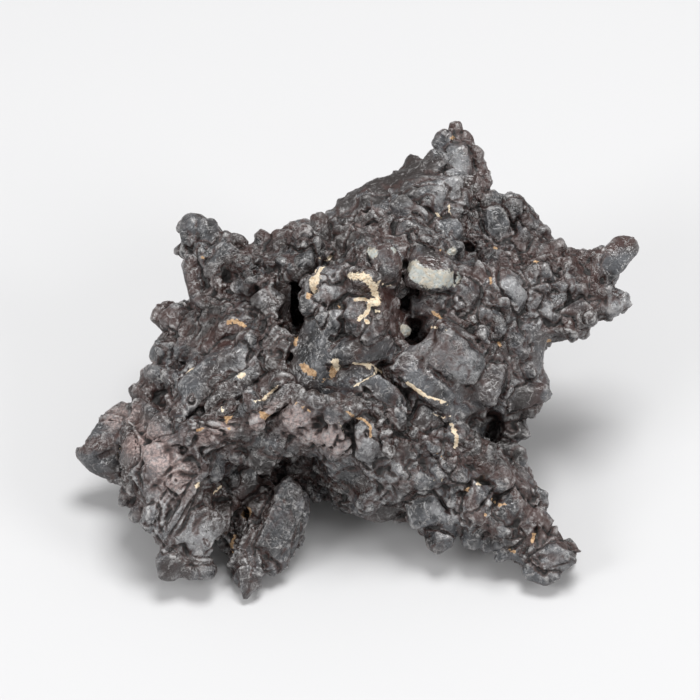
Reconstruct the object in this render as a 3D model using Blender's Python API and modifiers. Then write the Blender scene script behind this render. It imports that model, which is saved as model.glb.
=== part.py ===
"""A prophecy stone: one natural piece of dark iron ore, about 100 mm across, that stands on the tips of its arms.

The stone is laid out face up, in millimetres: across to the right, up the face, and out of the face.
It is then leaned back so that its face looks forward and upward, and cut off level where it stands.
"""

import math
import random

import bmesh
import bpy
import numpy as np
from mathutils import Matrix, Vector

MM = 0.001
LEAN = math.radians(48)  # how far the face is turned up from lying flat on its back
FACE_HEIGHT = 28.0  # of the middle of the face above the ground
SEED = 7
MASS_VOXEL = 1.1
SKIN_VOXEL = 0.7
MOST_TRIANGLES = 9500
ORE_COLOUR = (0.045, 0.043, 0.046)

# Each limb is a row of (across, up, out, radius) from the middle of the stone to its tip.
LIMBS = {
    "core": [(-14, 0, -3, 12), (0, 2, -3, 13), (14, 0, -3, 13)],
    "top_arm": [(6, 10, -5, 14), (12, 21, -9, 9.5), (15.8, 29.4, -14, 6.8), (18.8, 36, -16, 3.8)],
    "top_left_shoulder": [(-8, 17.6, -9, 6.6), (-2.8, 20.6, -11, 6.4), (11, 28.8, -14, 4.8)],
    "top_right_shoulder": [(19, 25.4, -13, 5.6), (27, 18.6, -11, 6.4), (36, 12.6, -8, 6.4)],
    "right_arm": [(16, 8, -3, 12), (31, 10, -6, 7.4), (41, 12, -7, 4.8)],
    "arm_underside": [(30, 3, -4, 5.4), (37, 4.4, -4, 4.6), (42.4, 6, -4, 3.4)],
    "upper_finger": [(42, 13.6, -8, 4.2), (47, 15.6, -9, 3.4), (49, 17, -10, 2.4)],
    "lower_finger": [(42, 9.6, -5, 3.8), (47.4, 8.6, -4, 2.7)],
    "right_flank": [(16, -2, 0, 12), (24, -4, -2, 9.4), (28.6, -7, -2, 5.4)],
    "flank_edge": [(31, -2, -3, 4.6), (31.6, -9, -2, 3.4), (28.6, -16, -1, 3.6), (28.4, -22, 1, 4)],
    "lower_right_arm": [(8, -13, 0, 11), (20, -22, 1, 8.4), (28.4, -30, 2.6, 6.2), (35.2, -36.6, 4.2, 4.2)],
    "belly": [(-6, -13.6, 1, 8.6), (4, -19, 0, 8.8), (12, -24, 1, 7.2)],
    "brow": [(-36, -19, 6, 6), (-23, -15, 7, 6.6), (-9, -11, 7, 7), (4, -13, 6, 8), (14, -20, 4, 7)],
    "left_arm": [(-20, -8, -1, 12), (-32, -14, 0, 8), (-40, -17.2, -5, 4.2), (-46, -18.8, -7, 1.6)],
    "lower_left_lobe": [(-31, -22, 6, 8), (-29.6, -30.4, 7, 6.8), (-28.4, -35.2, 6.4, 4)],
    "front_leg": [(-15.4, -18, -4, 7.4), (-16, -28, 1, 6), (-16.8, -35.5, 4.6, 4.2), (-18.6, -41.8, 7.2, 1.8)],
    "left_middle": [(-18, 1, -4, 11.5), (-26.6, 1.2, -7, 7.6), (-32, 4.6, -8, 3.6)],
    "left_edge": [(-30, 8.6, -9, 3.4), (-33.4, 4, -8, 3), (-33.6, -2, -6, 3.2), (-33, -7, -5, 4.6)],
    "top_left_arm": [(-12, 6, -4, 11), (-21, 11, -8, 7.6), (-27.2, 17.4, -11, 4.6), (-28.4, 21.6, -12, 2.8)],
    "base_left": [(-8, 0, -9, 12.5), (-11, -7, -21, 9.6)],
    "base_middle": [(0, -5, -8, 10), (2, -7, -19, 8)],
    "base_right": [(8, 0, -9, 12.5), (14, -4, -25, 9.2)],
    "back_left_arm": [(-12, 4, -13, 10.5), (-18, 6, -26, 8), (-21, 2, -38, 5)],
    "back_right_arm": [(10, 10, -13, 11), (20, 15, -25, 7.6), (28, 17, -34, 3.8)],
    "back_top_lump": [(0, 14, -13, 9), (-4, 19, -24, 6)],
}

# Ridges of long crystals that run over the face, rows as above.
RIDGES = {
    "diagonal_upper": [(-33, -4.6, -1, 2.2), (-27, 1, 1.6, 2.8), (-18, 6, 4.4, 3.2)],
    "diagonal_middle": [(-34, -9.4, 2, 2.4), (-25, -3, 5, 3.2), (-15, 1.6, 7, 3.2)],
    "diagonal_lower": [(-31, -12, 5, 2.2), (-21, -6.4, 8, 2.8), (-11, -3, 9, 3.0)],
    "slope_bridge": [(-22, 14, -3, 3), (-15, 13, 1, 3)],
    "window_left_lip": [(-13.8, 14, 4, 2.2), (-13.6, 8, 5, 2.3), (-12.2, 2, 6, 2.2)],
    "window_right_lip": [(-6.8, 14, 8, 1.8), (-6.2, 8, 9, 2), (-5.8, 1, 10, 1.8)],
    "shelf_rim": [(5, -1, 10, 2.2), (11, -6.4, 10.4, 2.2), (19, -11, 9.4, 2.4), (26, -12, 6, 2.4)],
    "arm_ledge": [(13, -13.4, 8, 2.4), (21, -17, 7.6, 2.6), (30, -22, 5, 2.6)],
    "arm_crest": [(12, -20, 8, 3), (20, -26.4, 8.6, 2.8), (28, -33, 8, 3)],
    "brow_crest": [(-34, -17, 13, 2.4), (-24, -14, 14, 2.6), (-12, -9, 14, 2.8), (0, -10, 13, 3)],
    "lobe_blade_1": [(-35, -24, 12, 1.9), (-35.4, -31, 12.4, 1.8), (-34.2, -37, 10.6, 1.8)],
    "lobe_blade_2": [(-27, -25, 13, 1.8), (-30.4, -32, 13.4, 1.8), (-32, -38, 11.4, 1.6)],
    "lobe_blade_3": [(-24, -28, 10.4, 2), (-25.4, -34, 11.4, 2), (-27, -39, 9.4, 2)],
    "leg_blade_1": [(-13, -26, 6, 2), (-16, -35, 7.6, 2), (-17.4, -41, 8, 1.6)],
    "leg_blade_2": [(-10, -28, 3, 2.2), (-12, -34, 5, 2.2), (-14.6, -39.6, 6, 1.8)],
    "leg_blade_3": [(-19.4, -30, 4, 2), (-19.6, -37, 7, 1.9), (-20.4, -43, 7.4, 1.6)],
}
RIDGE_WOBBLE = 0.4  # of a long crystal off its row, as a share of its radius

# Lumps and blocks that stand out of the limbs: (across, up, out), half sizes, and a turn in the face in degrees.
BLOCKS = {
    "block_dome": ((2.6, 12.4, 9.4), (6.6, 7, 7.6), 20),
    "block_left_face": ((-4.0, 5, 8.6), (4.6, 10, 7.4), 4),
    "block_right_face": ((3.4, 5, 9), (5.4, 8.4, 7.4), -16),
    "block_foot": ((-1.6, -1.2, 8.4), (6, 6.4, 6.6), 0),
    "upper_left_knob": ((-8.6, 19, -1), (4, 6.2, 6.4), 0),
    "saddle_lump": ((-15.8, 19.6, -12), (3.8, 3.4, 3.4), 0),
    "arm_facet": ((-29, 14.4, -9), (3, 6.4, 5.4), -12),
    "valley_crystal": ((7.6, 16, 6), (2.8, 3.8, 5), 10),
    "pale_crystal": ((14.8, 15, 4.8), (5, 4.6, 5), -20),
    "arm_plate": ((18, 26, -8), (4.6, 6, 6), 20),
    "shelf": ((18.4, -4, 4.6), (10.6, 8.4, 5.6), -25),
    "lower_crest": ((6, -17.6, 7.6), (7.6, 6, 5.8), -25),
    "arm_boulder": ((16.6, -28.6, 4), (5, 4.4, 4.6), -30),
    "arm_tip_boulder": ((35.4, -36.8, 5.2), (4.8, 4.6, 4.8), 0),
    "left_head": ((-33, -20.6, 9), (8, 6.2, 5.8), 10),
    "left_shoulder": ((-38.6, -10.6, -3), (4.6, 5.4, 4.4), 30),
    "left_heel": ((-37.4, -26.6, 2), (4.4, 5.8, 4.4), 20),
    "leg_heel": ((-11.4, -32, 2), (3.4, 7, 5), -20),
    "leg_web": ((-21, -29, 1), (5, 8, 4.6), 0),
    "under_knob": ((-4, -25, -5), (4, 2.6, 4.4), 0),
}

# Small lumps along the outline: (across, up, out, radius).
KNOBS = {
    "top": [(20.0, 41.0, -16, 1.7), (16.6, 38.6, -15, 2.0), (22.6, 37.8, -15, 2.0), (23.2, 34.8, -14, 1.8),
            (25.4, 31.6, -13, 2.2), (28.4, 27.6, -12, 2.1), (31.8, 25.2, -11, 2.0), (34.8, 23.0, -10, 1.9),
            (37.6, 20.2, -9, 2.1), (42.0, 17.8, -8, 1.9)],
    "right": [(50.4, 18.2, -10, 2.3), (48.6, 8.6, -4, 2.4), (43.0, 4.2, -4, 2.6), (38.6, 1.8, -4, 2.2)],
    "flank": [(34.0, -8.8, -1, 2.0), (31.6, -13.6, -1, 2.1), (29.8, -18.2, 0, 2.0)],
    "lower_right": [(33.2, -23.8, 3, 2.1), (35.2, -27.6, 4, 2.1), (36.4, -31.2, 5, 1.9), (39.0, -36.2, 7, 2.2),
                    (38.4, -39.2, 8, 2.5), (33.0, -39.0, 8, 2.4)],
    "lower": [(26.0, -37.2, 7, 2.0), (21.0, -34.2, 6, 1.9), (16.4, -32.2, 5, 2.2), (11.6, -29.8, 5, 2.0)],
    "left": [(-46.8, -18.8, -7, 1.5), (-43.4, -12.4, -4, 1.8), (-39.4, -7.6, -4, 1.9), (-35.2, 6.6, -8, 1.9),
             (-36.2, 2.2, -7, 1.9), (-36.6, -2.0, -6, 1.9)],
}

# Hollows sunk into the face, each dug out by a few balls: rows of (across, up, out, radius).
HOLLOWS = {
    "window": [(-10.2, 12, 8, 2.5), (-9.4, 8, 8, 2.5), (-9, 3.5, 9, 2.1), (-8, 0, 9, 1.7)],
    "window_floor": [(-9.8, 10, 3, 3.1), (-9, 5, 3, 2.8), (-10.4, 8, -4, 2.6)],
    "block_ring": [(-4, 18, 9, 1.5), (1, 20, 8, 1.7), (6, 19, 8, 1.7), (9.6, 14, 9, 1.8), (9.8, 8, 10, 1.8), (8.6, 1, 11, 1.5)],
    "block_sill": [(-8.8, -1, 11, 1.8), (-4, -7.6, 12.6, 1.8), (0, -6.6, 12.6, 1.7), (5, -3.4, 12.6, 1.8)],
    "right_slot": [(11.2, 14.4, 8, 1.6), (10.2, 11, 7, 2.2), (10.6, 8, 8, 1.7), (10.2, 10, 2, 2.0)],
    "upper_right_slot": [(18.4, 16.6, 5, 1.7), (21.6, 17.8, 3, 2.4), (24.2, 16, 4, 1.5)],
    "upper_right_slot_floor": [(21.6, 17.8, 3, 2.4), (21.4, 17.4, -2, 2.2)],
    "shelf_pit": [(12.8, 5.6, 9, 1.8), (11.2, 3.2, 8, 2.1), (11.6, 2.2, 4, 1.9)],
    "flank_pit": [(22, -13.4, 8, 2.1), (25.4, -14.4, 6, 3), (27.4, -16.4, 5, 1.8), (25, -14.4, 1, 2.6)],
    "left_slot": [(-34, -3.8, 0, 1.5), (-30.2, -2.2, 2, 2.0), (-27.2, -1, 2, 1.5), (-30, -2.6, -4, 1.8)],
    "shoulder_pit": [(-35, -8.4, 2, 2.1), (-32.8, -6, 2, 1.7)],
    "knob_slot": [(-18.8, 10, 3, 1.4), (-17.6, 7.6, 4, 1.7)],
    "brow_undercut": [(-17, -24, 7, 2.6), (-12.4, -21.6, 5, 3.7), (-7.6, -21, 5, 3.2)],
    "undercut_roof": [(-13, -22, 0, 3.6), (-8.6, -24, 0, 2.8)],
    "lobe_gap": [(-16.4, -26.6, 10, 2.1), (-19, -31, 9, 2.4), (-22.2, -36.6, 8, 1.8)],
    "belly_pit": [(9, -29.4, 4, 1.8), (11.6, -30.6, 4, 1.3)],
}

# Smooth patches that no crystal grows on: (across, up, least out, radius).
BARE = {
    "shelf": (17, -4.4, 2, 8.6), "block_front": (-2, -1, 4, 6.4), "shoulder": (3, 27, -14, 6),
    "arm_facet": (-29.4, 13.4, -14, 4.6), "lobe_face": (-22, -26, 4, 4.4), "lobe_front": (-30, -29, 8, 5),
    "brow_left": (-22, -19, 8, 4), "slope": (-26, -5, 0, 4), "pale_crystal": (14.8, 14, 2, 4.4),
    "arm_plate": (18.4, 29, -14, 4),
}

# Lumps crowd every limb, and smaller crystals crowd the lumps. All lean towards the limb's tip.
LUMPS = {"spacing": 7.0, "width": (2.8, 4.6), "length": (3.4, 5.2), "depth": 0.55, "lean": 0.4}
CRYSTALS = {"spacing": 3.2, "width": (1.4, 2.8), "length": (1.8, 3.4), "depth": 0.35, "lean": 0.7}
BURIED = 0.86  # the share of a limb's radius inside which nothing shows
HANDFUL = 80


def ball_place(centre, sizes, turn=0.0):
    """The matrix that stretches a ball to its half sizes, turns it in the face and puts it at its centre."""
    return (
        Matrix.Translation(Vector(centre) * MM)
        @ Matrix.Rotation(math.radians(turn), 4, "Z")
        @ Matrix.Diagonal((*(Vector(sizes) * MM), 1))
    )


def strung(row):
    """Balls strung closely along a row of points, their size running evenly from one point to the next."""
    for start, end in zip(row, row[1:]):
        start, end = Vector(start), Vector(end)
        steps = max(2, math.ceil((end - start).xyz.length / (0.3 * min(start.w, end.w))))
        for step in range(steps + 1):
            yield start.lerp(end, step / steps)


def row_places(row):
    return [ball_place(ball.xyz, (ball.w,) * 3) for ball in strung(row)]


def long_crystals(row, rng):
    """Long crystals that overlap end to end along a row of points."""
    for start, end in zip(row, row[1:]):
        start, end = Vector(start), Vector(end)
        along = (end - start).xyz
        steps = max(1, round(along.length / (1.8 * (start.w + end.w))))
        for step in range(steps):
            point = start.lerp(end, (step + 0.5) / steps)
            wander = Vector([rng.gauss(0, RIDGE_WOBBLE * point.w) for _ in range(3)])
            sizes = (point.w, point.w * rng.uniform(0.6, 1.0), along.length / steps * rng.uniform(0.7, 0.9))
            yield (
                Matrix.Translation((point.xyz + wander) * MM)
                @ (along.normalized() + wander * 0.15).to_track_quat("Z", "Y").to_matrix().to_4x4()
                @ Matrix.Rotation(rng.uniform(0, math.pi), 4, "Z")
                @ Matrix.Diagonal((*(Vector(sizes) * MM), 1))
            )


def heap(name, places, collection, detail, more=None):
    """One object of many balls, made a handful at a time, and of the mesh that is there already."""
    data = bpy.data.meshes.new(name)
    whole = bmesh.new()
    for first in range(0, len(places), HANDFUL):
        handful = bmesh.new()
        for place in places[first : first + HANDFUL]:
            bmesh.ops.create_icosphere(handful, subdivisions=detail, radius=1, matrix=place)
        handful.to_mesh(data)
        handful.free()
        whole.from_mesh(data)
    if more:
        whole.from_mesh(more)
    whole.to_mesh(data)
    whole.free()
    made = bpy.data.objects.new(name, data)
    collection.objects.link(made)
    return made


def helper(made):
    """A cutter or a guide: no part of the stone."""
    made.hide_render = True
    made.display_type = "WIRE"
    return made


def fused(made, voxel):
    """Overlapping balls become one skin."""
    remesh = made.modifiers.new("one_skin", "REMESH")
    remesh.mode = "VOXEL"
    remesh.voxel_size = voxel * MM
    return made


def evaluated_mesh(made):
    graph = bpy.context.evaluated_depsgraph_get()
    return bpy.data.meshes.new_from_object(made.evaluated_get(graph))


def spots_round(row, spacing, rng):
    """Points spread over a limb and its rounded tip: a place on its skin, the way out of it, and the way along it."""
    for start, end in zip(row, row[1:]):
        start, end = Vector(start), Vector(end)
        along = (end - start).xyz
        side = along.orthogonal().normalized()
        area = math.pi * (start.w + end.w) * along.length
        for _ in range(round(area / spacing**2)):
            point = start.lerp(end, rng.random())
            outward = Matrix.Rotation(rng.uniform(0, math.tau), 3, along) @ side
            yield point.xyz + outward * point.w, outward, along.normalized()
    for _ in range(round(math.tau * end.w**2 / spacing**2)):
        tipped = Matrix.Rotation(math.acos(rng.random()), 3, side) @ along.normalized()
        outward = Matrix.Rotation(rng.uniform(0, math.tau), 3, along) @ tipped
        yield end.xyz + outward * end.w, outward, along.normalized()


def limb_points():
    rows = np.array([point for row in LIMBS.values() for point in row], float)
    return rows[:, :3], rows[:, 3]


def bare(spot):
    return any(
        spot.z > least_out and math.hypot(spot.x - across, spot.y - up) < radius
        for across, up, least_out, radius in BARE.values()
    )


def in_hollow(spot, margin):
    return any((spot - ball.xyz).length < ball.w + margin for row in HOLLOWS.values() for ball in strung(row))


def crowd(kind, rng):
    """Places of the stubby lumps of one kind over every limb, each leaning from straight out to the limb's tip."""
    centres, radii = limb_points()
    for row in LIMBS.values():
        for spot, outward, along in spots_round(row, kind["spacing"], rng):
            if (np.linalg.norm(centres - np.array(spot), axis=1) < BURIED * radii).any():
                continue
            if bare(spot) or in_hollow(spot, margin=0.6):
                continue
            wander = Vector([rng.gauss(0, 0.3) for _ in range(3)])
            axis = (outward + along * kind["lean"] + wander).normalized()
            width = rng.uniform(*kind["width"])
            sizes = (width, width * rng.uniform(0.6, 1.0), rng.uniform(*kind["length"]))
            yield (
                Matrix.Translation((spot - outward * kind["depth"] * sizes[2]) * MM)
                @ axis.to_track_quat("Z", "Y").to_matrix().to_4x4()
                @ Matrix.Rotation(rng.uniform(0, math.pi), 4, "Z")
                @ Matrix.Diagonal((*(Vector(sizes) * MM), 1))
            )


def rows_places(rows):
    return [place for row in rows.values() for place in row_places(row)]


def masses(helpers, rng):
    """Limbs, blocks and large lumps, fused, eased and hollowed out."""
    limbs = heap("limbs", rows_places(LIMBS), helpers, detail=3)
    lumps = [ball_place(*block) for block in BLOCKS.values()] + list(crowd(LUMPS, rng))
    made = fused(helper(heap("masses", lumps, helpers, detail=1, more=helper(limbs).data)), MASS_VOXEL)
    ease = made.modifiers.new("ease", "SMOOTH")
    ease.factor = 0.5
    ease.iterations = 1
    cut = made.modifiers.new("hollows", "BOOLEAN")
    cut.operation = "DIFFERENCE"
    cut.object = fused(helper(heap("hollows", rows_places(HOLLOWS), helpers, detail=2)), SKIN_VOXEL)
    return made


def ground(helpers, below):
    """A block whose top is level with the ground."""
    mesh = bmesh.new()
    bmesh.ops.create_cube(mesh, size=1)
    data = bpy.data.meshes.new("ground")
    mesh.to_mesh(data)
    mesh.free()
    data.transform(Matrix.Translation((0, 0, -below * MM / 2)) @ Matrix.Diagonal((0.3, 0.3, below * MM, 1)))
    made = bpy.data.objects.new("ground", data)
    helpers.objects.link(made)
    return helper(made)


def dark_ore():
    """Dark iron ore with a satin, half metallic skin."""
    material = bpy.data.materials.new("dark_iron_ore")
    material.use_nodes = True
    shader = material.node_tree.nodes["Principled BSDF"]
    shader.inputs["Base Color"].default_value = (*ORE_COLOUR, 1)
    shader.inputs["Roughness"].default_value = 0.42
    shader.inputs["Metallic"].default_value = 0.15
    return material


def stone(collection, helpers):
    """The stone as it lies face up: the masses with ridges, knobs and crystals grown on them, in one skin."""
    rng = random.Random(SEED)
    body = evaluated_mesh(masses(helpers, rng))
    rounded = [ball_place(row[:3], (row[3],) * 3) for knobs in KNOBS.values() for row in knobs]
    rounded = helper(heap("knobs", rounded, helpers, detail=2, more=body))
    angular = [place for row in RIDGES.values() for place in long_crystals(row, rng)] + list(crowd(CRYSTALS, rng))
    return fused(heap("stone", angular, collection, detail=1, more=rounded.data), SKIN_VOXEL)


def stand_up(made, helpers):
    """Leans the stone back, lifts it to its height and cuts it off level with the ground."""
    lean_back = Matrix.Translation((0, 0, FACE_HEIGHT * MM)) @ Matrix.Rotation(LEAN, 4, "X")
    settle(made, lean_back)
    fewer = made.modifiers.new("fewer_faces", "DECIMATE")
    fewer.ratio = MOST_TRIANGLES / (2 * len(made.data.polygons))
    level = made.modifiers.new("level_feet", "BOOLEAN")
    level.operation = "DIFFERENCE"
    level.object = ground(helpers, below=20.0)
    settle(made, Matrix())
    corners = np.array([vertex.co for vertex in made.data.vertices])
    middle = (corners.min(axis=0) + corners.max(axis=0)) / 2
    made.data.transform(Matrix.Translation((-middle[0], -middle[1], 0)))
    made.data.materials.append(dark_ore())


def settle(made, matrix):
    """Applies the modifiers and then moves the mesh."""
    data = evaluated_mesh(made)
    made.modifiers.clear()
    made.data = data
    data.transform(matrix)


def main():
    for old in list(bpy.data.objects):
        bpy.data.objects.remove(old, do_unlink=True)
    collection = bpy.data.collections.new("prophecy_stone")
    helpers = bpy.data.collections.new("helpers")
    bpy.context.scene.collection.children.link(collection)
    bpy.context.scene.collection.children.link(helpers)
    made = stone(collection, helpers)
    stand_up(made, helpers)


main()
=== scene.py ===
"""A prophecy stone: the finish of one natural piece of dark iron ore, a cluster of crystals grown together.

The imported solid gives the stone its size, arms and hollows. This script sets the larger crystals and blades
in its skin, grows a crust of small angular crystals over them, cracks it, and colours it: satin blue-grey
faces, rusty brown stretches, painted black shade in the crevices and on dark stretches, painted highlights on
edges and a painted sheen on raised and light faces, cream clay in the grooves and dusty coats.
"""

import math

import bpy
import numpy as np
from bpy.props import FloatProperty, FloatVectorProperty, IntProperty, PointerProperty
from bpy.types import Operator, Panel, PropertyGroup
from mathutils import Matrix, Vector
from mathutils.bvhtree import BVHTree


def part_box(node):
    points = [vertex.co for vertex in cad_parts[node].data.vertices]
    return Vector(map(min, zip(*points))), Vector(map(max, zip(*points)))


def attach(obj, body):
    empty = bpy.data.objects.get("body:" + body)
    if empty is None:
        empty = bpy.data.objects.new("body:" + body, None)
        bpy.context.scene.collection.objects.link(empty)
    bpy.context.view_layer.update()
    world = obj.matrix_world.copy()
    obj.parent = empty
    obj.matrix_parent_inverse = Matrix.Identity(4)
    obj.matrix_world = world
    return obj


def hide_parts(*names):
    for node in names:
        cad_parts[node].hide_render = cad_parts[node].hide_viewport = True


bl_info = {
    "name": "Prophecy stone",
    "version": (1, 0, 0),
    "blender": (4, 5, 0),
    "location": "View3D > Sidebar > Stone",
    "description": "Grows and colours a prophecy stone on its packed solid",
    "category": "Add Mesh",
}

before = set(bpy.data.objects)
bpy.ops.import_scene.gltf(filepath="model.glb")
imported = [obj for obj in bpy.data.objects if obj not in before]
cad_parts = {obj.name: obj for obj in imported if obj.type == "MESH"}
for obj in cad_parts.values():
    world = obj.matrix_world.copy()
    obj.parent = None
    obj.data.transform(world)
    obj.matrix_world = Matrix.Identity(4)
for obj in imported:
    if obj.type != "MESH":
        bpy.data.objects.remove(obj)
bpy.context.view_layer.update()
BODY = "root"
NODE = "stone"
MM = 0.001

# The stone's face: its middle, measured from the solid's own box, and how far it is turned up from flat.
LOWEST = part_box(NODE)[0]
FACE_FROM_LEFT = 48.66 * MM
FACE_FROM_FRONT = 35.65 * MM
FACE_HEIGHT = 28.0 * MM
FACE_MIDDLE = np.array([LOWEST.x + FACE_FROM_LEFT, LOWEST.y + FACE_FROM_FRONT, FACE_HEIGHT])
LEAN = math.radians(48)
ELEVATION = math.radians(42)  # of the camera, which looks straight at the face
EYE_DISTANCE = 520.0  # millimetres from the face's middle, straight out of it
RIM_DEPTH = 12.0  # how far behind the face's middle its rim lies

# The crust, in millimetres: the cells of its groups of crystals and of its large, middle and small crystals,
# how far soft noise bends the skin before each is grown, and how far the crystals rise.
GROUP_CELL, GROUP_BEND = 8.0, 2.2
LARGE_CELL, LARGE_BEND = 4.0, 1.2
MIDDLE_CELL, MIDDLE_BEND = 2.1, 0.9
SMALL_CELL, SMALL_BEND = 1.0, 0.5
LARGE_RISE = LARGE_CELL * 0.45
MIDDLE_RISE = MIDDLE_CELL * 0.27
SMALL_RISE = SMALL_CELL * 0.26
FOLD_CELL, FOLD_BEND, FOLD_RISE = 6.5, 0.8, 0.36
FOLD_WAVES = 6.5  # how fast the folds follow each other
RIDGE_CELL, RIDGE_RISE = 2.4, 0.15
CRACK_DEPTH = 0.6
FOOT_DEPTH = 0.7  # the crack round a plate
BEND_CELL = 3.2  # the noise that bends the skin
CRACK_STRETCH = 9.0  # the noise that breaks the cracks off and on
BUSY_STRETCH = 7.0  # the noise that makes some stretches busier than others
BROWN_STRETCH = 12.0
DUST_STRETCH = 15.0
FLECK_CELL = 3.4
PLATE_FIRMNESS = 0.8  # how much of the melting a smooth plate withstands
FAR_BELOW = -9.0  # lower than any crystal of the crust, in shares of its size
LEAST_PRODUCT = 0.7  # keeps the corners of the set crystals from running out to spikes
WELD_REACH = 0.01 * MM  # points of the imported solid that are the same

# The half sizes that a larger crystal behind the face lies between, in millimetres.
STRAY_LEAST = [2.2, 1.6, 1.3]
STRAY_MOST = [4.8, 3.2, 2.0]

# Points round a crystal and bands from pole to pole.
PLATE_COLUMNS, PLATE_BANDS = 28, 20
CRYSTAL_COLUMNS, CRYSTAL_BANDS = 10, 8

# The light: the lamps' places and widths in metres and their power in watts, and the even light of the room.
LAMPS = {
    "overhead": ((0.1, 0.12, 0.95), 0.45, 7.6),
    "left": ((-0.62, -0.45, 0.5), 0.35, 3.2),
    "right": ((0.68, -0.4, 0.5), 0.35, 2.8),
}
LAMP_TARGET = Vector((0, 0, 0.02))
WORLD_STRENGTH = 0.49

# All places below are in millimetres on the face, across to the right and up it, as they look from the eye.

# Hollows that are dug deeper into the face: rows of (across, up), radius and depth.
HOLLOWS = {
    "window": ([(-10.6, 12.2), (-9.8, 8.0), (-9.2, 3.0)], 2.8, 9.0),
    "window_foot": ([(-9.2, 3.0), (-8.4, -0.6)], 1.3, 3.0),
    "boulder_groove_left": ([(-9.2, 1.0), (-7.6, -3.8), (-3.6, -6.0)], 1.1, 2.2),
    "boulder_groove_right": ([(-3.6, -6.0), (0.6, -2.6), (6.4, -1.6)], 1.0, 2.0),
    "boulder_groove_top": ([(-5.8, 14.4), (-1.6, 17.0), (3.6, 15.6), (6.6, 11.4)], 1.0, 1.6),
    "right_slot": ([(10.4, 14.4), (10.8, 11.0), (10.2, 9.4)], 1.5, 6.0),
    "shelf_pit": ([(12.0, 5.0), (11.4, 2.6)], 1.5, 4.0),
    "upper_right_slot": ([(18.9, 17.0), (21.4, 18.0), (22.8, 17.2)], 1.5, 3.6),
    "ring_pit": ([(6.4, 12.9), (7.0, 12.7)], 0.8, 1.8),
    "flank_pit": ([(23.0, -13.8), (26.4, -15.6)], 2.6, 5.0),
    "left_slot": ([(-32.6, -3.2), (-29.6, -2.2)], 1.0, 4.0),
    "left_edge_hollow": ([(-33.6, -7.6), (-34.6, -9.6)], 1.6, 3.4),
    "knob_slot": ([(-18.4, 9.8), (-17.8, 7.8)], 0.8, 3.0),
    "small_slot": ([(-15.6, -0.8), (-15.4, -3.4)], 0.7, 1.6),
    "shelf_crack": ([(5.6, -4.0), (9.4, -6.8), (15.6, -11.6), (17.6, -13.4)], 0.5, 1.6),
    "arm_pits": ([(22.6, -23.4), (24.2, -23.6)], 0.8, 1.8),
    "belly_pit": ([(8.6, -29.6), (10.2, -29.8)], 0.9, 1.6),
    "arm_groove_upper": ([(18.6, -19.4), (23.0, -20.8), (27.4, -22.6)], 0.8, 1.4),
    "arm_groove_lower": ([(20.6, -26.8), (23.4, -30.0), (25.6, -33.0)], 0.8, 1.4),
    "leg_gap": ([(-18.2, -23.6), (-19.2, -28.6), (-20.6, -33.6)], 1.7, 4.4),
    "slope_gap": ([(-29.8, -12.6), (-24.4, -10.4), (-20.0, -9.0)], 0.8, 1.8),
}

# Places where the body is eased sideways under its crust: the middle, how far it reaches and the shift.
SHIFTS = {
    "upper_arm_tip": ((24.0, 38.6), 4.6, (-1.6, 0.2)),
    "upper_arm_back": ((13.6, 36.6), 4.0, (0.2, 0.4)),
    "shoulder": ((2.0, 30.0), 6.0, (0.0, 1.8)),
    "upper_knobs": ((-8.0, 25.6), 6.6, (0.0, -4.2)),
    "left_arm_tip": ((-31.0, 22.6), 4.0, (1.2, -1.4)),
    "right_finger": ((51.0, 19.4), 5.0, (1.4, 2.0)),
    "right_notch": ((37.0, 22.4), 4.0, (0.0, -1.6)),
    "finger_root": ((43.8, 20.4), 4.0, (0.0, -1.4)),
    "upper_arm_side": ((26.4, 30.6), 3.6, (-1.4, -0.4)),
    "right_rim": ((38.0, -2.0), 6.6, (-1.0, 3.4)),
    "right_flank": ((34.6, -14.6), 8.0, (-3.2, 0.4)),
    "lower_arm_side": ((38.4, -30.0), 5.0, (-1.6, -0.4)),
    "lower_arm_tip": ((40.0, -42.6), 6.0, (-0.8, 3.2)),
    "lower_arm_root": ((16.4, -34.2), 5.0, (0.0, -1.2)),
    "left_rim_high": ((-32.6, 9.6), 5.6, (4.0, 0.8)),
    "left_rim": ((-38.6, 0.6), 9.0, (2.6, 0.0)),
    "left_rim_low": ((-42.0, -9.0), 6.0, (1.8, -1.4)),
    "left_tip": ((-45.0, -22.6), 5.0, (-1.4, -1.6)),
    "left_lobe": ((-41.0, -30.0), 6.0, (1.2, 0.4)),
    "lobe_foot": ((-31.0, -40.0), 5.4, (-0.2, -1.2)),
    "lobe_foot_corner": ((-37.0, -41.4), 4.4, (2.6, 2.2)),
}

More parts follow.
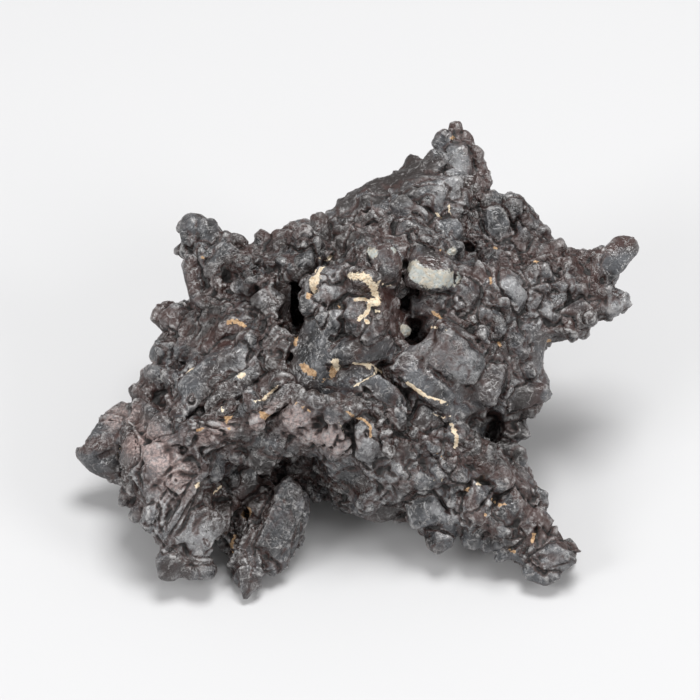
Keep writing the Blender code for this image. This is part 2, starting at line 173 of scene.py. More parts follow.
# Larger crystals, blades and plates that are set in the skin: middle (across, up), half sizes (along, over,
# thick), the turn of the long side on the face and the lean of the front to the right and upwards in degrees,
# how far it is moved out from lying three quarters sunk in the skin, and how smooth it is.
PLATES = {
    "boulder_left_face": ((-5.6, 1.2), (7.6, 4.0, 2.6), 72, (-26, 4), -0.4, 0.95),
    "boulder_low_face": ((1.6, 0.2), (5.6, 3.6, 2.4), 12, (8, -26), -0.4, 0.75),
    "boulder_brow": ((-3.2, 13.2), (3.0, 2.2, 1.6), 20, (-10, 10), 0.4, 0.3),
    "boulder_cheek": ((1.6, 6.8), (3.4, 2.4, 1.8), 40, (6, 10), 0.5, 0.2),
    "wedge_roof": ((14.8, 15.6), (3.2, 2.2, 1.9), -30, (-6, 28), 0.7, 0.9),
    "wedge": ((14.4, 13.6), (4.2, 2.5, 2.2), -12, (6, -10), 2.2, 0.95),
    "ring_stone": ((6.4, 15.4), (3.4, 2.7, 2.0), 80, (-8, 8), 0.8, 0.5),
    "slot_tip": ((8.8, 11.6), (2.6, 1.3, 1.4), -58, (0, 0), 0.8, 0.4),
    "upper_knob": ((-8.4, 20.8), (3.6, 3.4, 2.6), 60, (-8, 12), 1.0, 0.85),
    "upper_knob_side": ((-5.2, 20.8), (3.6, 1.9, 1.8), 98, (18, 0), 1.0, 0.9),
    "upper_knob_foot": ((-9.0, 15.6), (3.6, 2.4, 2.2), 10, (0, -10), 0.7, 0.5),
    "window_chip": ((-6.6, 11.6), (2.5, 1.05, 1.0), 68, (0, 0), 0.9, 0.9),
    "window_lip": ((-12.2, 8.4), (4.6, 1.5, 1.6), 100, (20, 0), 0.4, 0.7),
    "slot_knob": ((-14.6, 8.6), (2.7, 1.9, 1.6), -28, (0, 0), 0.9, 0.6),
    "under_boulder": ((1.6, -4.6), (3.6, 2.2, 1.5), 24, (0, 6), 0.5, 0.9),
    "under_crack": ((5.2, -8.0), (3.8, 2.5, 1.3), -40, (0, -6), 0.5, 0.95),
    "under_left": ((-5.6, -7.2), (3.1, 1.2, 1.0), 8, (0, 0), 0.6, 0.9),
    "small_under_ring": ((9.4, 3.6), (1.8, 1.5, 1.0), 30, (0, 0), 0.6, 0.8),
    "shelf_low": ((14.6, -6.6), (4.6, 2.8, 1.6), -36, (-6, 4), 0.4, 0.95),
    "shelf_high": ((18.4, -1.6), (5.8, 4.4, 1.8), -30, (4, -6), -0.4, 0.7),
    "shelf_right": ((24.4, -6.4), (4.0, 2.8, 1.6), 70, (10, 0), 0.2, 0.5),
    "arm_plate_high": ((19.6, 34.4), (2.9, 2.1, 1.3), 100, (12, 0), 0.6, 0.9),
    "arm_plate_left": ((14.6, 33.2), (3.0, 1.8, 1.3), 42, (-12, 6), 0.6, 0.7),
    "arm_plate_middle": ((16.6, 28.6), (3.4, 2.2, 1.4), 10, (0, -6), 0.6, 0.6),
    "arm_plate_low": ((11.2, 25.0), (4.0, 1.7, 1.2), -36, (0, -8), 0.6, 0.9),
    "arm_plate_right": ((22.0, 27.6), (3.4, 1.5, 1.4), 78, (14, 0), 0.6, 0.6),
    "arm_plate_notch": ((19.4, 30.6), (2.2, 1.6, 1.2), 0, (8, 8), 0.4, 0.8),
    "arm_plate_side": ((26.6, 22.4), (2.8, 2.2, 1.6), 120, (10, 4), 0.5, 0.8),
    "arm_tip_knob": ((19.0, 39.6), (1.7, 1.3, 1.3), 86, (0, 0), 0.1, 0.6),
    "arm_tip_left": ((16.8, 37.4), (2.0, 1.5, 1.2), 60, (-10, 0), 0.2, 0.7),
    "arm_tip_right": ((21.0, 37.4), (1.8, 1.4, 1.2), 110, (10, 0), 0.2, 0.6),
    "right_bump_one": ((25.8, 26.0), (2.8, 2.0, 1.8), 110, (0, 10), 0.5, 0.6),
    "right_bump_two": ((30.4, 19.4), (3.0, 2.0, 1.6), 60, (0, 0), 0.5, 0.5),
    "right_bump_three": ((33.8, 13.4), (2.6, 2.2, 1.6), 20, (0, 0), 0.5, 0.5),
    "right_plate": ((29.8, 10.4), (2.6, 1.8, 1.4), -50, (0, 0), 0.6, 0.7),
    "finger_horn": ((46.6, 15.4), (5.0, 2.5, 2.2), 47, (6, 4), 0.2, 0.85),
    "right_lump_low": ((41.2, 6.4), (3.2, 2.6, 1.8), 20, (8, -8), 0.6, 0.8),
    "right_lump_under": ((37.0, 1.8), (3.0, 2.0, 1.6), 10, (0, -10), 0.6, 0.8),
    "right_centre_one": ((20.6, 8.6), (2.6, 2.0, 1.4), 50, (0, 0), 0.5, 0.3),
    "right_centre_two": ((25.0, 5.0), (2.8, 1.8, 1.4), -20, (0, 0), 0.5, 0.3),
    "small_pale": ((18.6, 18.2), (1.5, 1.2, 1.0), 60, (0, 0), 0.6, 0.8),
    "over_slot": ((11.8, 21.2), (2.6, 1.6, 1.2), -28, (0, 0), 0.5, 0.7),
    "over_ring": ((17.6, 21.6), (2.0, 2.0, 1.3), 30, (0, 0), 0.5, 0.7),
    "over_boulder_one": ((0.6, 20.0), (3.0, 1.6, 1.3), 20, (0, 0), 0.4, 0.4),
    "over_boulder_two": ((3.0, 25.0), (3.2, 1.8, 1.3), 30, (0, 0), 0.4, 0.4),
    "left_arm_facet": ((-28.0, 13.2), (5.4, 2.2, 1.8), 104, (-24, 0), 0.0, 1.0),
    "left_arm_head": ((-27.4, 20.8), (3.9, 2.9, 2.0), 96, (-6, 4), 0.1, 0.6),
    "left_arm_top": ((-25.2, 20.0), (3.2, 1.7, 1.3), 96, (10, 0), 0.6, 0.95),
    "left_arm_shoulder": ((-21.6, 19.2), (3.4, 1.9, 1.6), -32, (6, 6), 0.3, 0.4),
    "left_arm_low": ((-23.0, 15.0), (3.6, 2.4, 1.5), 60, (10, 0), 0.4, 0.5),
    "left_arm_knob": ((-24.8, 9.0), (2.4, 2.0, 1.6), 40, (0, 0), 0.6, 0.5),
    "left_rim_one": ((-31.8, 5.4), (2.6, 2.2, 1.6), 70, (-8, 8), 0.5, 0.6),
    "left_rim_two": ((-33.0, 0.4), (2.8, 2.4, 1.8), 60, (-10, 0), 0.5, 0.7),
    "slope_one": ((-25.4, -3.2), (5.6, 1.9, 1.6), 42, (0, 14), 0.6, 0.9),
    "slope_two": ((-19.6, -1.8), (4.0, 2.4, 1.4), 24, (8, 0), 0.5, 0.95),
    "slope_three": ((-28.0, -8.4), (6.4, 1.6, 1.6), 50, (-8, 8), 0.6, 0.8),
    "slope_four": ((-21.6, -7.8), (5.0, 1.4, 1.3), 44, (0, 8), 0.6, 0.5),
    "slope_five": ((-13.8, -9.8), (6.4, 1.5, 1.3), 34, (0, 8), 0.6, 0.4),
    "bridge": ((-13.0, 0.6), (4.0, 2.2, 1.3), 84, (0, 0), 0.3, 0.4),
    "dusty_blade": ((-26.0, -17.4), (4.6, 1.5, 1.2), 22, (0, -6), 0.7, 0.7),
    "dusty_block": ((-34.4, -14.0), (3.0, 2.2, 1.6), 70, (-10, 6), 0.5, 0.3),
    "head_face": ((-33.0, -20.4), (4.6, 4.0, 2.0), 100, (-4, 0), 0.2, 0.3),
    "head_low": ((-29.6, -23.2), (3.4, 2.6, 1.6), 40, (4, -4), 0.3, 0.3),
    "cheek_block": ((-36.4, -24.6), (4.0, 1.7, 1.4), 118, (-14, -8), 0.5, 0.4),
    "left_tip_upper": ((-42.6, -14.0), (5.4, 2.8, 2.0), 50, (-10, 10), 0.1, 0.75),
    "left_tip_lower": ((-43.4, -20.0), (5.2, 2.6, 2.0), -36, (-10, -8), 0.1, 0.75),
    "lobe_ridge": ((-30.4, -28.6), (6.0, 0.6, 1.1), 57, (0, 0), 0.4, 0.7),
    "lobe_left": ((-33.6, -29.6), (4.2, 2.2, 1.4), 62, (-14, 0), 0.3, 0.6),
    "lobe_middle": ((-27.2, -31.8), (3.6, 2.4, 1.5), 40, (6, -4), 0.1, 0.3),
    "lobe_knob": ((-23.8, -30.4), (2.6, 1.9, 1.5), 74, (8, 6), 0.3, 0.6),
    "lobe_facet": ((-20.4, -26.2), (6.0, 2.5, 1.5), 60, (12, -6), 0.4, 0.95),
    "lobe_low": ((-21.6, -33.6), (3.4, 2.4, 1.5), 40, (8, -6), 0.5, 0.8),
    "lobe_foot_left": ((-32.2, -37.9), (3.1, 2.3, 1.8), 20, (0, -10), 0.5, 0.6),
    "lobe_foot_right": ((-25.4, -38.2), (3.4, 2.6, 1.8), 70, (8, -10), 0.6, 0.7),
    "leg_lens": ((-13.6, -31.4), (6.6, 2.9, 2.4), 68, (-8, 4), 0.9, 0.5),
    "leg_side": ((-10.0, -32.4), (5.2, 1.8, 1.8), 76, (16, 0), 0.5, 0.7),
    "leg_root": ((-19.0, -36.0), (3.4, 1.6, 1.4), 60, (0, 0), 0.4, 0.7),
    "foot_prism_one": ((-19.0, -41.6), (3.2, 0.95, 1.0), 92, (0, 0), 0.5, 0.8),
    "foot_prism_two": ((-16.8, -41.0), (3.2, 0.95, 1.0), 84, (0, 0), 0.6, 0.8),
    "foot_prism_three": ((-14.8, -40.0), (3.0, 0.9, 1.0), 80, (0, 0), 0.5, 0.8),
    "brow_one": ((2.6, -16.4), (3.2, 2.0, 1.4), 90, (0, -6), 0.5, 0.5),
    "brow_two": ((-2.0, -17.0), (2.6, 1.7, 1.3), 70, (0, -8), 0.5, 0.3),
    "belly_face": ((4.0, -28.0), (4.6, 2.2, 1.6), -20, (0, -14), 0.3, 0.9),
    "arm_smooth_lump": ((13.4, -29.0), (3.0, 2.7, 1.8), 30, (-8, -6), 0.8, 0.95),
    "arm_lump_two": ((18.4, -30.2), (2.5, 2.2, 1.8), 60, (8, -8), 0.7, 0.7),
    "arm_block_one": ((28.6, -28.4), (3.0, 2.2, 1.6), 50, (0, 6), 0.6, 0.5),
    "arm_block_two": ((26.8, -33.8), (3.4, 2.2, 1.6), 10, (0, -6), 0.6, 0.7),
    "arm_block_three": ((22.4, -27.0), (2.6, 1.6, 1.3), 60, (0, 0), 0.5, 0.6),
    "arm_block_four": ((33.6, -31.4), (2.6, 2.2, 1.6), 60, (6, 6), 0.5, 0.5),
    "arm_underside": ((24.0, -37.0), (5.6, 1.8, 1.6), -30, (0, -16), 0.4, 0.9),
    "flank_plate": ((13.0, -13.0), (3.6, 2.0, 1.3), 70, (0, 0), 0.4, 0.9),
    "flank_plate_two": ((8.6, -12.0), (2.6, 1.6, 1.2), 100, (0, 0), 0.4, 0.6),
    "arm_tip_facet": ((37.2, -37.8), (3.2, 2.6, 2.2), 20, (-4, 8), 0.2, 0.4),
    "arm_tip_low": ((34.6, -40.2), (3.0, 1.8, 1.6), -30, (0, -8), 0.1, 0.5),
    "arm_tip_side": ((39.6, -39.6), (2.4, 1.7, 1.5), 60, (10, -4), 0.1, 0.5),
    "flank_prism_one": ((31.8, -8.4), (3.6, 1.9, 1.8), 20, (0, 0), 0.8, 0.8),
    "flank_prism_two": ((29.8, -14.2), (3.2, 1.7, 1.6), 8, (0, 0), 0.7, 0.8),
    "flank_prism_three": ((28.8, -18.4), (3.2, 1.6, 1.6), -14, (0, 0), 0.7, 0.8),
}

# Faces where the crust thins out: middle, half sizes and turn on the face, and how smooth they are.
SMOOTH = {
    "shelf": ((18.0, -4.2), (9.4, 7.2), -28, 0.7),
    "brown_band": ((8.8, 5.8), (5.4, 2.0), -68, 0.7),
    "shoulder": ((5.0, 30.4), (11.0, 3.8), 24, 0.85),
    "left_arm_facet": ((-28.8, 12.4), (5.4, 2.2), 106, 0.9),
    "left_tip": ((-43.0, -17.0), (4.6, 6.0), 0, 0.6),
    "left_head": ((-34.6, -17.6), (5.6, 6.6), 0, 0.5),
    "lobe": ((-29.4, -33.4), (9.0, 8.0), 20, 0.35),
    "lobe_foot": ((-29.0, -39.0), (8.0, 2.6), 8, 0.7),
    "leg_foot": ((-17.4, -41.0), (4.4, 4.0), 0, 0.7),
    "slope": ((-25.4, -3.2), (7.0, 5.0), 42, 0.35),
    "upper_finger": ((47.4, 16.6), (4.6, 3.0), 40, 0.7),
    "arm_underside": ((27.0, -38.4), (9.4, 2.8), -32, 0.9),
    "right_arm_under": ((35.8, -0.6), (3.0, 4.4), 0, 0.75),
    "brow_face": ((-13.0, -13.4), (6.0, 1.6), 34, 0.4),
    "upper_arm": ((17.0, 30.0), (5.0, 8.0), -20, 0.3),
    "undercut": ((-18.6, -24.6), (3.0, 4.0), 0, 0.7),
}

# Where crystals grow long and lie side by side: middle, half sizes, and the way they run on the face.
GRAINS = {
    "slope": ((-22.6, -4.6), (10.0, 9.0), 46),
    "lobe": ((-27.0, -31.0), (8.0, 7.0), 60),
    "leg": ((-14.6, -33.0), (6.0, 7.0), 76),
    "left_tip": ((-44.0, -18.0), (6.0, 6.0), 4),
}
GRAIN_STRETCH = 2.0

# Coats on the face, and stretches of painted sheen and painted shade: rows of (across, up) with the half width
# of the coat along them.
CLAY = [
    ([(0.2, 13.4), (2.6, 13.2), (4.4, 11.4), (4.9, 8.6)], 0.7),
    ([(4.6, 10.6), (3.4, 8.2), (3.2, 6.8), (1.0, 5.2)], 0.34),
    ([(3.4, 8.8), (2.0, 9.3), (0.6, 8.9)], 0.28),
    ([(3.6, 7.0), (5.2, 7.0)], 0.3),
    ([(2.9, 5.2), (3.2, 5.0)], 0.4),
    ([(-8.8, -1.2), (-7.6, -4.0), (-4.4, -5.6)], 0.16),
    ([(-2.7, -2.0), (-2.4, -3.0)], 0.7),
    ([(0.6, -2.4), (3.4, -2.6), (5.6, -3.9)], 0.2),
    ([(3.4, -2.8), (4.0, -3.0)], 0.5),
    ([(0.4, -6.8), (5.4, -3.7)], 0.12),
    ([(-3.4, 16.9), (-4.8, 15.2), (-6.2, 13.1)], 0.3),
    ([(-6.2, 12.6), (-6.9, 11.0)], 1.0),
    ([(-7.4, 15.2), (-5.8, 16.6), (-4.2, 16.0)], 0.14),
    ([(-6.8, 14.2), (-5.2, 14.8)], 0.12),
    ([(5.4, 12.7), (6.3, 11.5), (7.6, 11.9)], 0.24),
    ([(9.2, 11.0), (9.8, 9.8)], 0.24),
    ([(13.8, 4.3), (16.4, 3.9), (18.4, 3.4)], 0.2),
    ([(10.2, -5.8), (13.2, -8.0), (17.4, -9.7)], 0.34),
    ([(14.8, -11.2), (16.6, -12.2), (19.4, -11.8)], 0.16),
    ([(18.2, -13.4), (19.2, -15.4), (19.0, -17.4)], 0.42),
    ([(13.2, -24.2), (15.4, -23.4), (18.0, -23.8)], 0.1),
    ([(-2.0, -13.0), (-1.2, -14.6)], 0.14),
    ([(22.9, -24.0), (23.4, -24.2)], 0.3),
    ([(-23.2, -9.8), (-22.8, -11.6)], 0.14),
    ([(-17.4, -9.4), (-15.6, -8.9), (-14.0, -7.4), (-12.6, -6.2)], 0.22),
    ([(-19.9, -4.8), (-19.2, -4.3)], 0.5),
    ([(-13.6, -30.4), (-13.2, -32.0), (-12.8, -33.6)], 0.14),
    ([(-27.6, -24.4), (-27.2, -24.2)], 0.45),
    ([(-24.6, -25.8), (-23.0, -24.4)], 0.2),
    ([(-30.2, -4.6), (-27.8, -3.0)], 0.16),
    ([(17.8, 26.2), (18.0, 24.8), (18.8, 23.2)], 0.2),
    ([(15.6, 25.0), (16.2, 23.8)], 0.14),
]
TAN = [
    ([(-8.6, -2.8), (-7.6, -3.6), (-6.4, -4.6)], 0.7),
    ([(-7.2, 10.4), (-7.4, 9.6)], 0.6),
    ([(-2.9, -3.2), (-3.0, -4.4), (-4.6, -5.4)], 0.6),
    ([(-9.6, 2.4), (-9.8, 1.0)], 0.4),
    ([(15.0, 6.8), (16.0, 6.0), (16.6, 5.2)], 0.34),
    ([(11.4, -6.8), (13.4, -8.3)], 0.3),
    ([(-0.6, -11.0), (1.0, -12.2), (2.8, -12.6), (3.6, -14.0), (3.7, -15.6)], 0.28),
    ([(15.2, -18.2), (18.2, -20.4)], 0.14),
    ([(20.9, -25.2), (21.5, -25.2)], 0.4),
    ([(25.6, -27.0), (27.0, -28.0), (28.2, -27.6)], 0.28),
    ([(24.0, -29.0), (25.2, -31.0)], 0.16),
    ([(28.6, -36.0), (29.9, -36.3)], 0.3),
    ([(33.2, -33.2), (32.8, -34.6)], 0.36),
    ([(-22.6, -11.8), (-22.2, -13.0), (-21.8, -14.2)], 0.24),
    ([(-21.2, -11.8), (-22.2, -12.8)], 0.22),
    ([(-27.4, -14.4), (-26.5, -14.2)], 0.3),
    ([(-15.8, -11.8), (-14.6, -12.3)], 0.75),
    ([(-18.9, -29.6), (-18.4, -28.9)], 0.75),
    ([(-20.6, -33.4), (-21.4, -35.0), (-21.2, -36.4)], 0.34),
    ([(-9.8, -9.6), (-8.4, -10.2), (-7.2, -11.2)], 0.26),
    ([(-22.0, 5.0), (-20.4, 5.2), (-19.0, 4.4)], 0.42),
    ([(-26.6, 16.8), (-25.9, 16.1)], 0.3),
    ([(18.2, 38.4), (18.7, 38.1)], 0.4),
    ([(16.5, 17.9), (16.9, 17.4)], 0.34),
    ([(26.0, 18.4), (26.3, 18.3)], 0.3),
    ([(25.3, 13.0), (25.4, 12.0)], 0.28),
    ([(33.3, 16.1), (33.9, 15.8)], 0.3),
    ([(35.6, 1.7), (36.0, 1.7)], 0.3),
    ([(26.7, 1.3), (27.1, 0.8)], 0.28),
]
PALE = [
    ([(11.4, 15.0), (12.8, 13.6), (14.4, 12.2)], 1.3),
    ([(12.2, 13.4), (15.0, 12.5), (18.6, 12.9)], 1.4),
    ([(13.2, 13.7), (15.4, 13.4)], 1.0),
    ([(3.9, 17.8), (4.3, 17.2)], 0.8),
    ([(7.6, 18.3), (8.0, 17.8)], 0.4),
    ([(18.4, 17.6), (18.8, 17.0)], 0.9),
    ([(9.6, 3.8), (10.4, 3.2)], 0.8),
]
# Painted sheen: faces made lighter in colour where they catch the light.
PAINTED_SHEEN = [
    ([(13.4, 1.4), (18.0, -0.6), (20.6, -3.4)], 3.0),
    ([(19.6, 34.4), (17.0, 29.0), (19.4, 25.0)], 2.4),
    ([(12.8, 25.6), (9.8, 27.0)], 1.5),
    ([(46.0, 9.4), (48.8, 8.0)], 2.6),
    ([(28.0, 11.8), (32.8, 9.4)], 2.2),
    ([(36.8, -38.4), (38.0, -37.8)], 2.1),
    ([(-4.4, 10.6), (-1.6, 8.2)], 3.4),
    ([(40.0, 11.0), (34.0, 6.0)], 1.8),
    ([(15.0, -28.4), (19.4, -29.4)], 1.8),
    ([(-20.4, -4.0), (-17.6, -0.8)], 1.8),
    ([(-34.0, -28.8), (-30.0, -32.6), (-24.0, -35.6)], 3.6),
    ([(-10.4, -12.6), (-5.0, -15.0), (0.6, -17.4)], 2.8),
    ([(8.0, -22.0), (4.0, -27.6)], 2.2),
    ([(0.6, -14.0), (3.8, -17.0)], 2.6),
]
DUST = [
    ([(-36.8, -17.0), (-33.4, -19.4), (-31.8, -23.0)], 3.6),
    ([(-10.8, -12.2), (-6.8, -14.6), (-2.0, -16.4)], 2.6),
    ([(-26.8, -15.8), (-22.2, -13.8)], 1.5),
    ([(-17.4, -13.6), (-13.6, -10.6)], 1.4),
    ([(-42.6, -12.6), (-39.6, -11.4)], 1.6),
]
# Painted shade: stretches made darker in colour where shade falls, in slots, pits and the undercut, along the
# flank and on the shoulder's back slope.
PAINTED_SHADE = [
    ([(-3.0, 27.4), (4.0, 30.0), (12.0, 33.6)], 3.6),
    ([(2.0, 27.8), (10.8, 28.4)], 2.2),
    ([(-1.6, 19.6), (2.6, 19.4)], 1.7),
    ([(13.8, 17.8), (16.0, 17.6)], 1.0),
    ([(31.6, -8.6), (30.0, -14.0), (29.4, -18.4)], 2.2),
    ([(-16.4, -19.6), (-14.0, -22.6), (-17.0, -26.0)], 2.4),
    ([(-18.4, 9.8), (-17.8, 7.8), (-16.0, 6.4)], 1.6),
    ([(22.4, -13.0), (26.6, -14.4), (28.0, -17.4)], 2.6),
    ([(-27.6, 3.0), (-24.0, 7.0)], 1.8),
]
BROWN = [
    ([(6.6, 10.6), (8.4, 7.4), (9.2, 2.4)], 2.2),
    ([(-1.0, 18.8), (4.0, 20.0), (8.0, 19.4), (9.6, 16.4)], 2.6),
    ([(-16.0, 21.2), (-11.0, 22.6), (-7.0, 25.2), (0.0, 29.0), (8.0, 31.0), (12.0, 34.0)], 3.4),
    ([(12.6, 41.0), (18.6, 41.6), (22.8, 36.6), (24.6, 30.4)], 2.2),
    ([(-34.4, 6.4), (-30.4, 3.6), (-24.6, 1.6), (-21.4, 3.6)], 2.4),
    ([(-35.4, -8.2), (-32.4, -9.8)], 2.2),
    ([(-47.8, -17.2), (-43.0, -16.8), (-37.0, -16.4)], 1.5),
    ([(38.0, 18.2), (42.6, 15.0), (44.6, 9.6)], 2.4),
    ([(43.6, 18.0), (47.6, 19.2), (50.0, 20.4)], 1.6),
    ([(-28.6, 15.6), (-28.4, 9.4)], 1.3),
    ([(22.0, 13.4), (27.0, 14.4), (31.0, 17.6)], 1.8),
    ([(18.6, -19.4), (23.0, -20.8), (28.6, -22.6)], 1.2),
    ([(20.6, -26.8), (23.4, -30.0), (25.6, -33.0)], 1.1),
    ([(30.0, -24.0), (33.0, -29.0), (36.0, -33.4)], 1.8),
    ([(-20.6, -30.0), (-19.0, -25.0)], 1.2),
]


def to_face(points):
    """World points to (across, up, out) of the face in millimetres: the lean is undone about its middle."""
    x, y, z = ((points - FACE_MIDDLE) / MM).T
    up = y * math.cos(LEAN) + z * math.sin(LEAN)
    out = -y * math.sin(LEAN) + z * math.cos(LEAN)
    return np.stack([x, up, out], axis=1)


def from_face(points):
    """(across, up, out) in millimetres to world points: lean back, then move to the face's middle."""
    across, up, out = np.asarray(points, float).reshape(-1, 3).T
    y = up * math.cos(LEAN) - out * math.sin(LEAN)
    z = up * math.sin(LEAN) + out * math.cos(LEAN)
    return np.stack([across, y, z], axis=1) * MM + FACE_MIDDLE


def turn_from_face(directions):
    """Directions on the face to world directions: only the lean."""
    return (from_face(directions) - FACE_MIDDLE) / MM


def as_seen(face):
    """Where each point looks to be on the face from the eye: what stands out looks larger."""
    return face[:, :2] / (1 - face[:, 2:] / EYE_DISTANCE)


def smooth_step(low, high, values):
    """0 below low, 1 above high, and the cubic 3t^2 - 2t^3 between them."""
    t = np.clip((values - low) / (high - low), 0, 1)
    return t * t * (3 - 2 * t)


def unit(vectors):
    """Each vector over its own length."""
    return vectors / np.maximum(np.linalg.norm(vectors, axis=-1, keepdims=True), 1e-9)


def ellipse_reach(seen, middle, sizes, turn):
    """Distance from the middle of a turned ellipse on the face, in shares of its half sizes."""
    turn = math.radians(turn)
    along = (seen - middle) @ np.array([[math.cos(turn), -math.sin(turn)], [math.sin(turn), math.cos(turn)]])
    return np.hypot(along[:, 0] / sizes[0], along[:, 1] / sizes[1])


def row_distance(seen, row):
    """Distance on the face from the nearest point of a row of straight pieces."""
    nearest = np.full(len(seen), np.inf)
    for start, end in zip(np.array(row[:-1], float), np.array(row[1:], float)):
        step = end - start
        share = np.clip((seen - start) @ step / (step @ step), 0, 1)
        nearest = np.minimum(nearest, np.linalg.norm(seen - start - share[:, None] * step, axis=1))
    return nearest


def in_front(face, cell=1.0, depth=4.0):
    """1 for skin at the front of the stone from the eye and 0 for skin more than some depth behind that.

    The front is the furthest out that any point comes in each small square of the face."""
    squares = np.floor(as_seen(face) / cell).astype(int)
    squares -= squares.min(axis=0)
    number = squares[:, 0] * (squares[:, 1].max() + 1) + squares[:, 1]
    front = np.full(number.max() + 1, -np.inf)
    np.maximum.at(front, number, face[:, 2])
    return smooth_step(depth, depth * 0.6, front[number] - face[:, 2])


def coat_mask(seen, coats):
    """1 along the middle of a coat's rows, a half at their stated half width, and 0 at twice that and on."""
    mask = np.zeros(len(seen))
    for row, half_width in coats:
        mask = np.maximum(mask, 1 - row_distance(seen, row) / (2 * half_width))
    return mask


def dug_depth(seen):
    """How deep the hollows are at each point of the face, in millimetres."""
    depth_here = np.zeros(len(seen))
    for row, radius, depth in HOLLOWS.values():
        share = smooth_step(radius * 1.2, radius * 0.5, row_distance(seen, row))
        depth_here = np.maximum(depth_here, share * depth)
    return depth_here


def smooth_faces(seen):
    """How smooth the stone is at each point of the face, from 0 to 1."""
    mask = np.zeros(len(seen))
    for middle, sizes, turn, smoothness in SMOOTH.values():
        share = smooth_step(1.15, 0.85, ellipse_reach(seen, middle, sizes, turn))
        mask = np.maximum(mask, smoothness * share)
    return mask


def new_mesh(name, points, faces):
    """A mesh from whole arrays: points (n, 3) and faces (m, corners)."""
    mesh = bpy.data.meshes.new(name)
    mesh.vertices.add(len(points))
    mesh.vertices.foreach_set("co", np.asarray(points, np.float32).ravel())
    mesh.loops.add(faces.size)
    mesh.loops.foreach_set("vertex_index", faces.astype(np.int32).ravel())
    mesh.polygons.add(len(faces))
    mesh.polygons.foreach_set("loop_start", np.arange(0, faces.size, faces.shape[1], dtype=np.int32))
    mesh.update(calc_edges=True)
    mesh.validate()
    return mesh


def new_object(name, mesh):
    """An object of the scene for a mesh."""
    made = bpy.data.objects.new(name, mesh)
    bpy.context.scene.collection.objects.link(made)
    return made


def rows_of(items, name, columns, kind):
    """One property of many mesh items as an array with a row for each."""
    values = np.empty(len(items) * columns, kind)
    items.foreach_get(name, values)
    return values.reshape(-1, columns)


def points_of(mesh):
    """The places of a mesh's points."""
    return rows_of(mesh.vertices, "co", 3, np.float32).astype(float)


def normals_of(mesh):
    """The way out of a mesh at its points."""
    return rows_of(mesh.vertex_normals, "vector", 3, np.float32).astype(float)


def edges_of(mesh):
    """The two point numbers of each edge."""
    return rows_of(mesh.edges, "vertices", 2, np.int32)


def triangles_of(mesh):
    """The three point numbers of each triangle, with larger faces cut up."""
    mesh.calc_loop_triangles()
    return rows_of(mesh.loop_triangles, "vertices", 3, np.int32)


def place_points(mesh, points):
    """Moves a mesh's points to new places."""
    mesh.vertices.foreach_set("co", points.astype(np.float32).ravel())
    mesh.update()


def with_modifier(mesh, kind, **settings):
    """The mesh after one modifier."""
    made = new_object("work", mesh)
    modifier = made.modifiers.new("work", kind)
    for name, value in settings.items():
        setattr(modifier, name, value)
    result = bpy.data.meshes.new_from_object(made.evaluated_get(bpy.context.evaluated_depsgraph_get()))
    bpy.data.objects.remove(made)
    return result


def eased(values, edges, rounds, share=0.5):
    """Values moved towards the mean of their neighbours along the edges, again and again."""
    count = np.bincount(edges.ravel(), minlength=len(values))
    for _ in range(rounds):
        mean = np.empty_like(values)
        for axis in range(values.shape[1]):
            column = np.ascontiguousarray(values[:, axis])
            mean[:, axis] = np.bincount(edges[:, 0], column[edges[:, 1]], len(values))
            mean[:, axis] += np.bincount(edges[:, 1], column[edges[:, 0]], len(values))
        values = values + share * (mean / np.maximum(count, 1)[:, None] - values)
    return values


def grown_crust(points, size, seed, corner=7.0, even=0.2):
    """A crust of angular crystals: its height and the depth of its creases in shares of their size, and a
    tone from 0 to 1 for each crystal.

    Space is cut in cells of one size, each with one crystal at a random spot with a random turn, shape and
    reach. A crystal's height is its reach less the distance from its spot. That distance is the root of the
    sum of high powers of the three lengths along the crystal's own axes, so that its sides are flat. The
    highest of the crystals nearby shows. The crease is how much higher it is than the next one."""
    rng = np.random.default_rng(seed)
    places = points / size
    lowest = np.floor(places.min(axis=0)).astype(int) - 1
    counts = np.floor(places.max(axis=0)).astype(int) + 2 - lowest
    number = int(np.prod(counts))
    spots = rng.random((number, 3))
    turns = np.linalg.qr(rng.normal(size=(number, 3, 3)))[0]
    turns = turns * np.exp(rng.normal(scale=even, size=(number, 3)))[:, :, None]
    reach = rng.uniform(0.6, 1.05, size=number)
    tone = rng.random(number)
    cells = np.floor(places).astype(int) - lowest
    height = second = np.full(len(points), FAR_BELOW)
    shown = np.zeros(len(points), int)
    for shift in np.ndindex(3, 3, 3):
        cell = cells + np.array(shift) - 1
        index = np.ravel_multi_index(cell.T, counts)
        away = places - cell - lowest - spots[index]
        along = np.abs(np.einsum("nij,nj->ni", turns[index], away))
        one = reach[index] - (along**corner).sum(axis=1) ** (1 / corner)
        second = np.maximum(second, np.minimum(one, height))
        shown = np.where(one > height, index, shown)
        height = np.maximum(height, one)
    return height, height - second, tone[shown]


def rough(points, size, seed, octaves=3):
    """Soft noise from -1 to 1: random numbers at the corners of cells, eased between them, in a few sizes."""
    rng = np.random.default_rng(seed)
    total, weight = np.zeros(len(points)), 1.0
    for octave in range(octaves):
        places = points / size * 2**octave
        lowest = np.floor(places.min(axis=0)).astype(int)
        counts = np.floor(places.max(axis=0)).astype(int) + 2 - lowest
        values = rng.uniform(-1, 1, size=int(np.prod(counts)))
        cells = np.floor(places).astype(int)
        t = places - cells
        t = t * t * (3 - 2 * t)
        for corner in np.ndindex(2, 2, 2):
            share = np.prod(np.where(corner, t, 1 - t), axis=1)
            index = np.ravel_multi_index((cells - lowest + np.array(corner)).T, counts)
            total += weight * share * values[index]
        weight *= 0.5
    return total / (2 - 2 * weight)


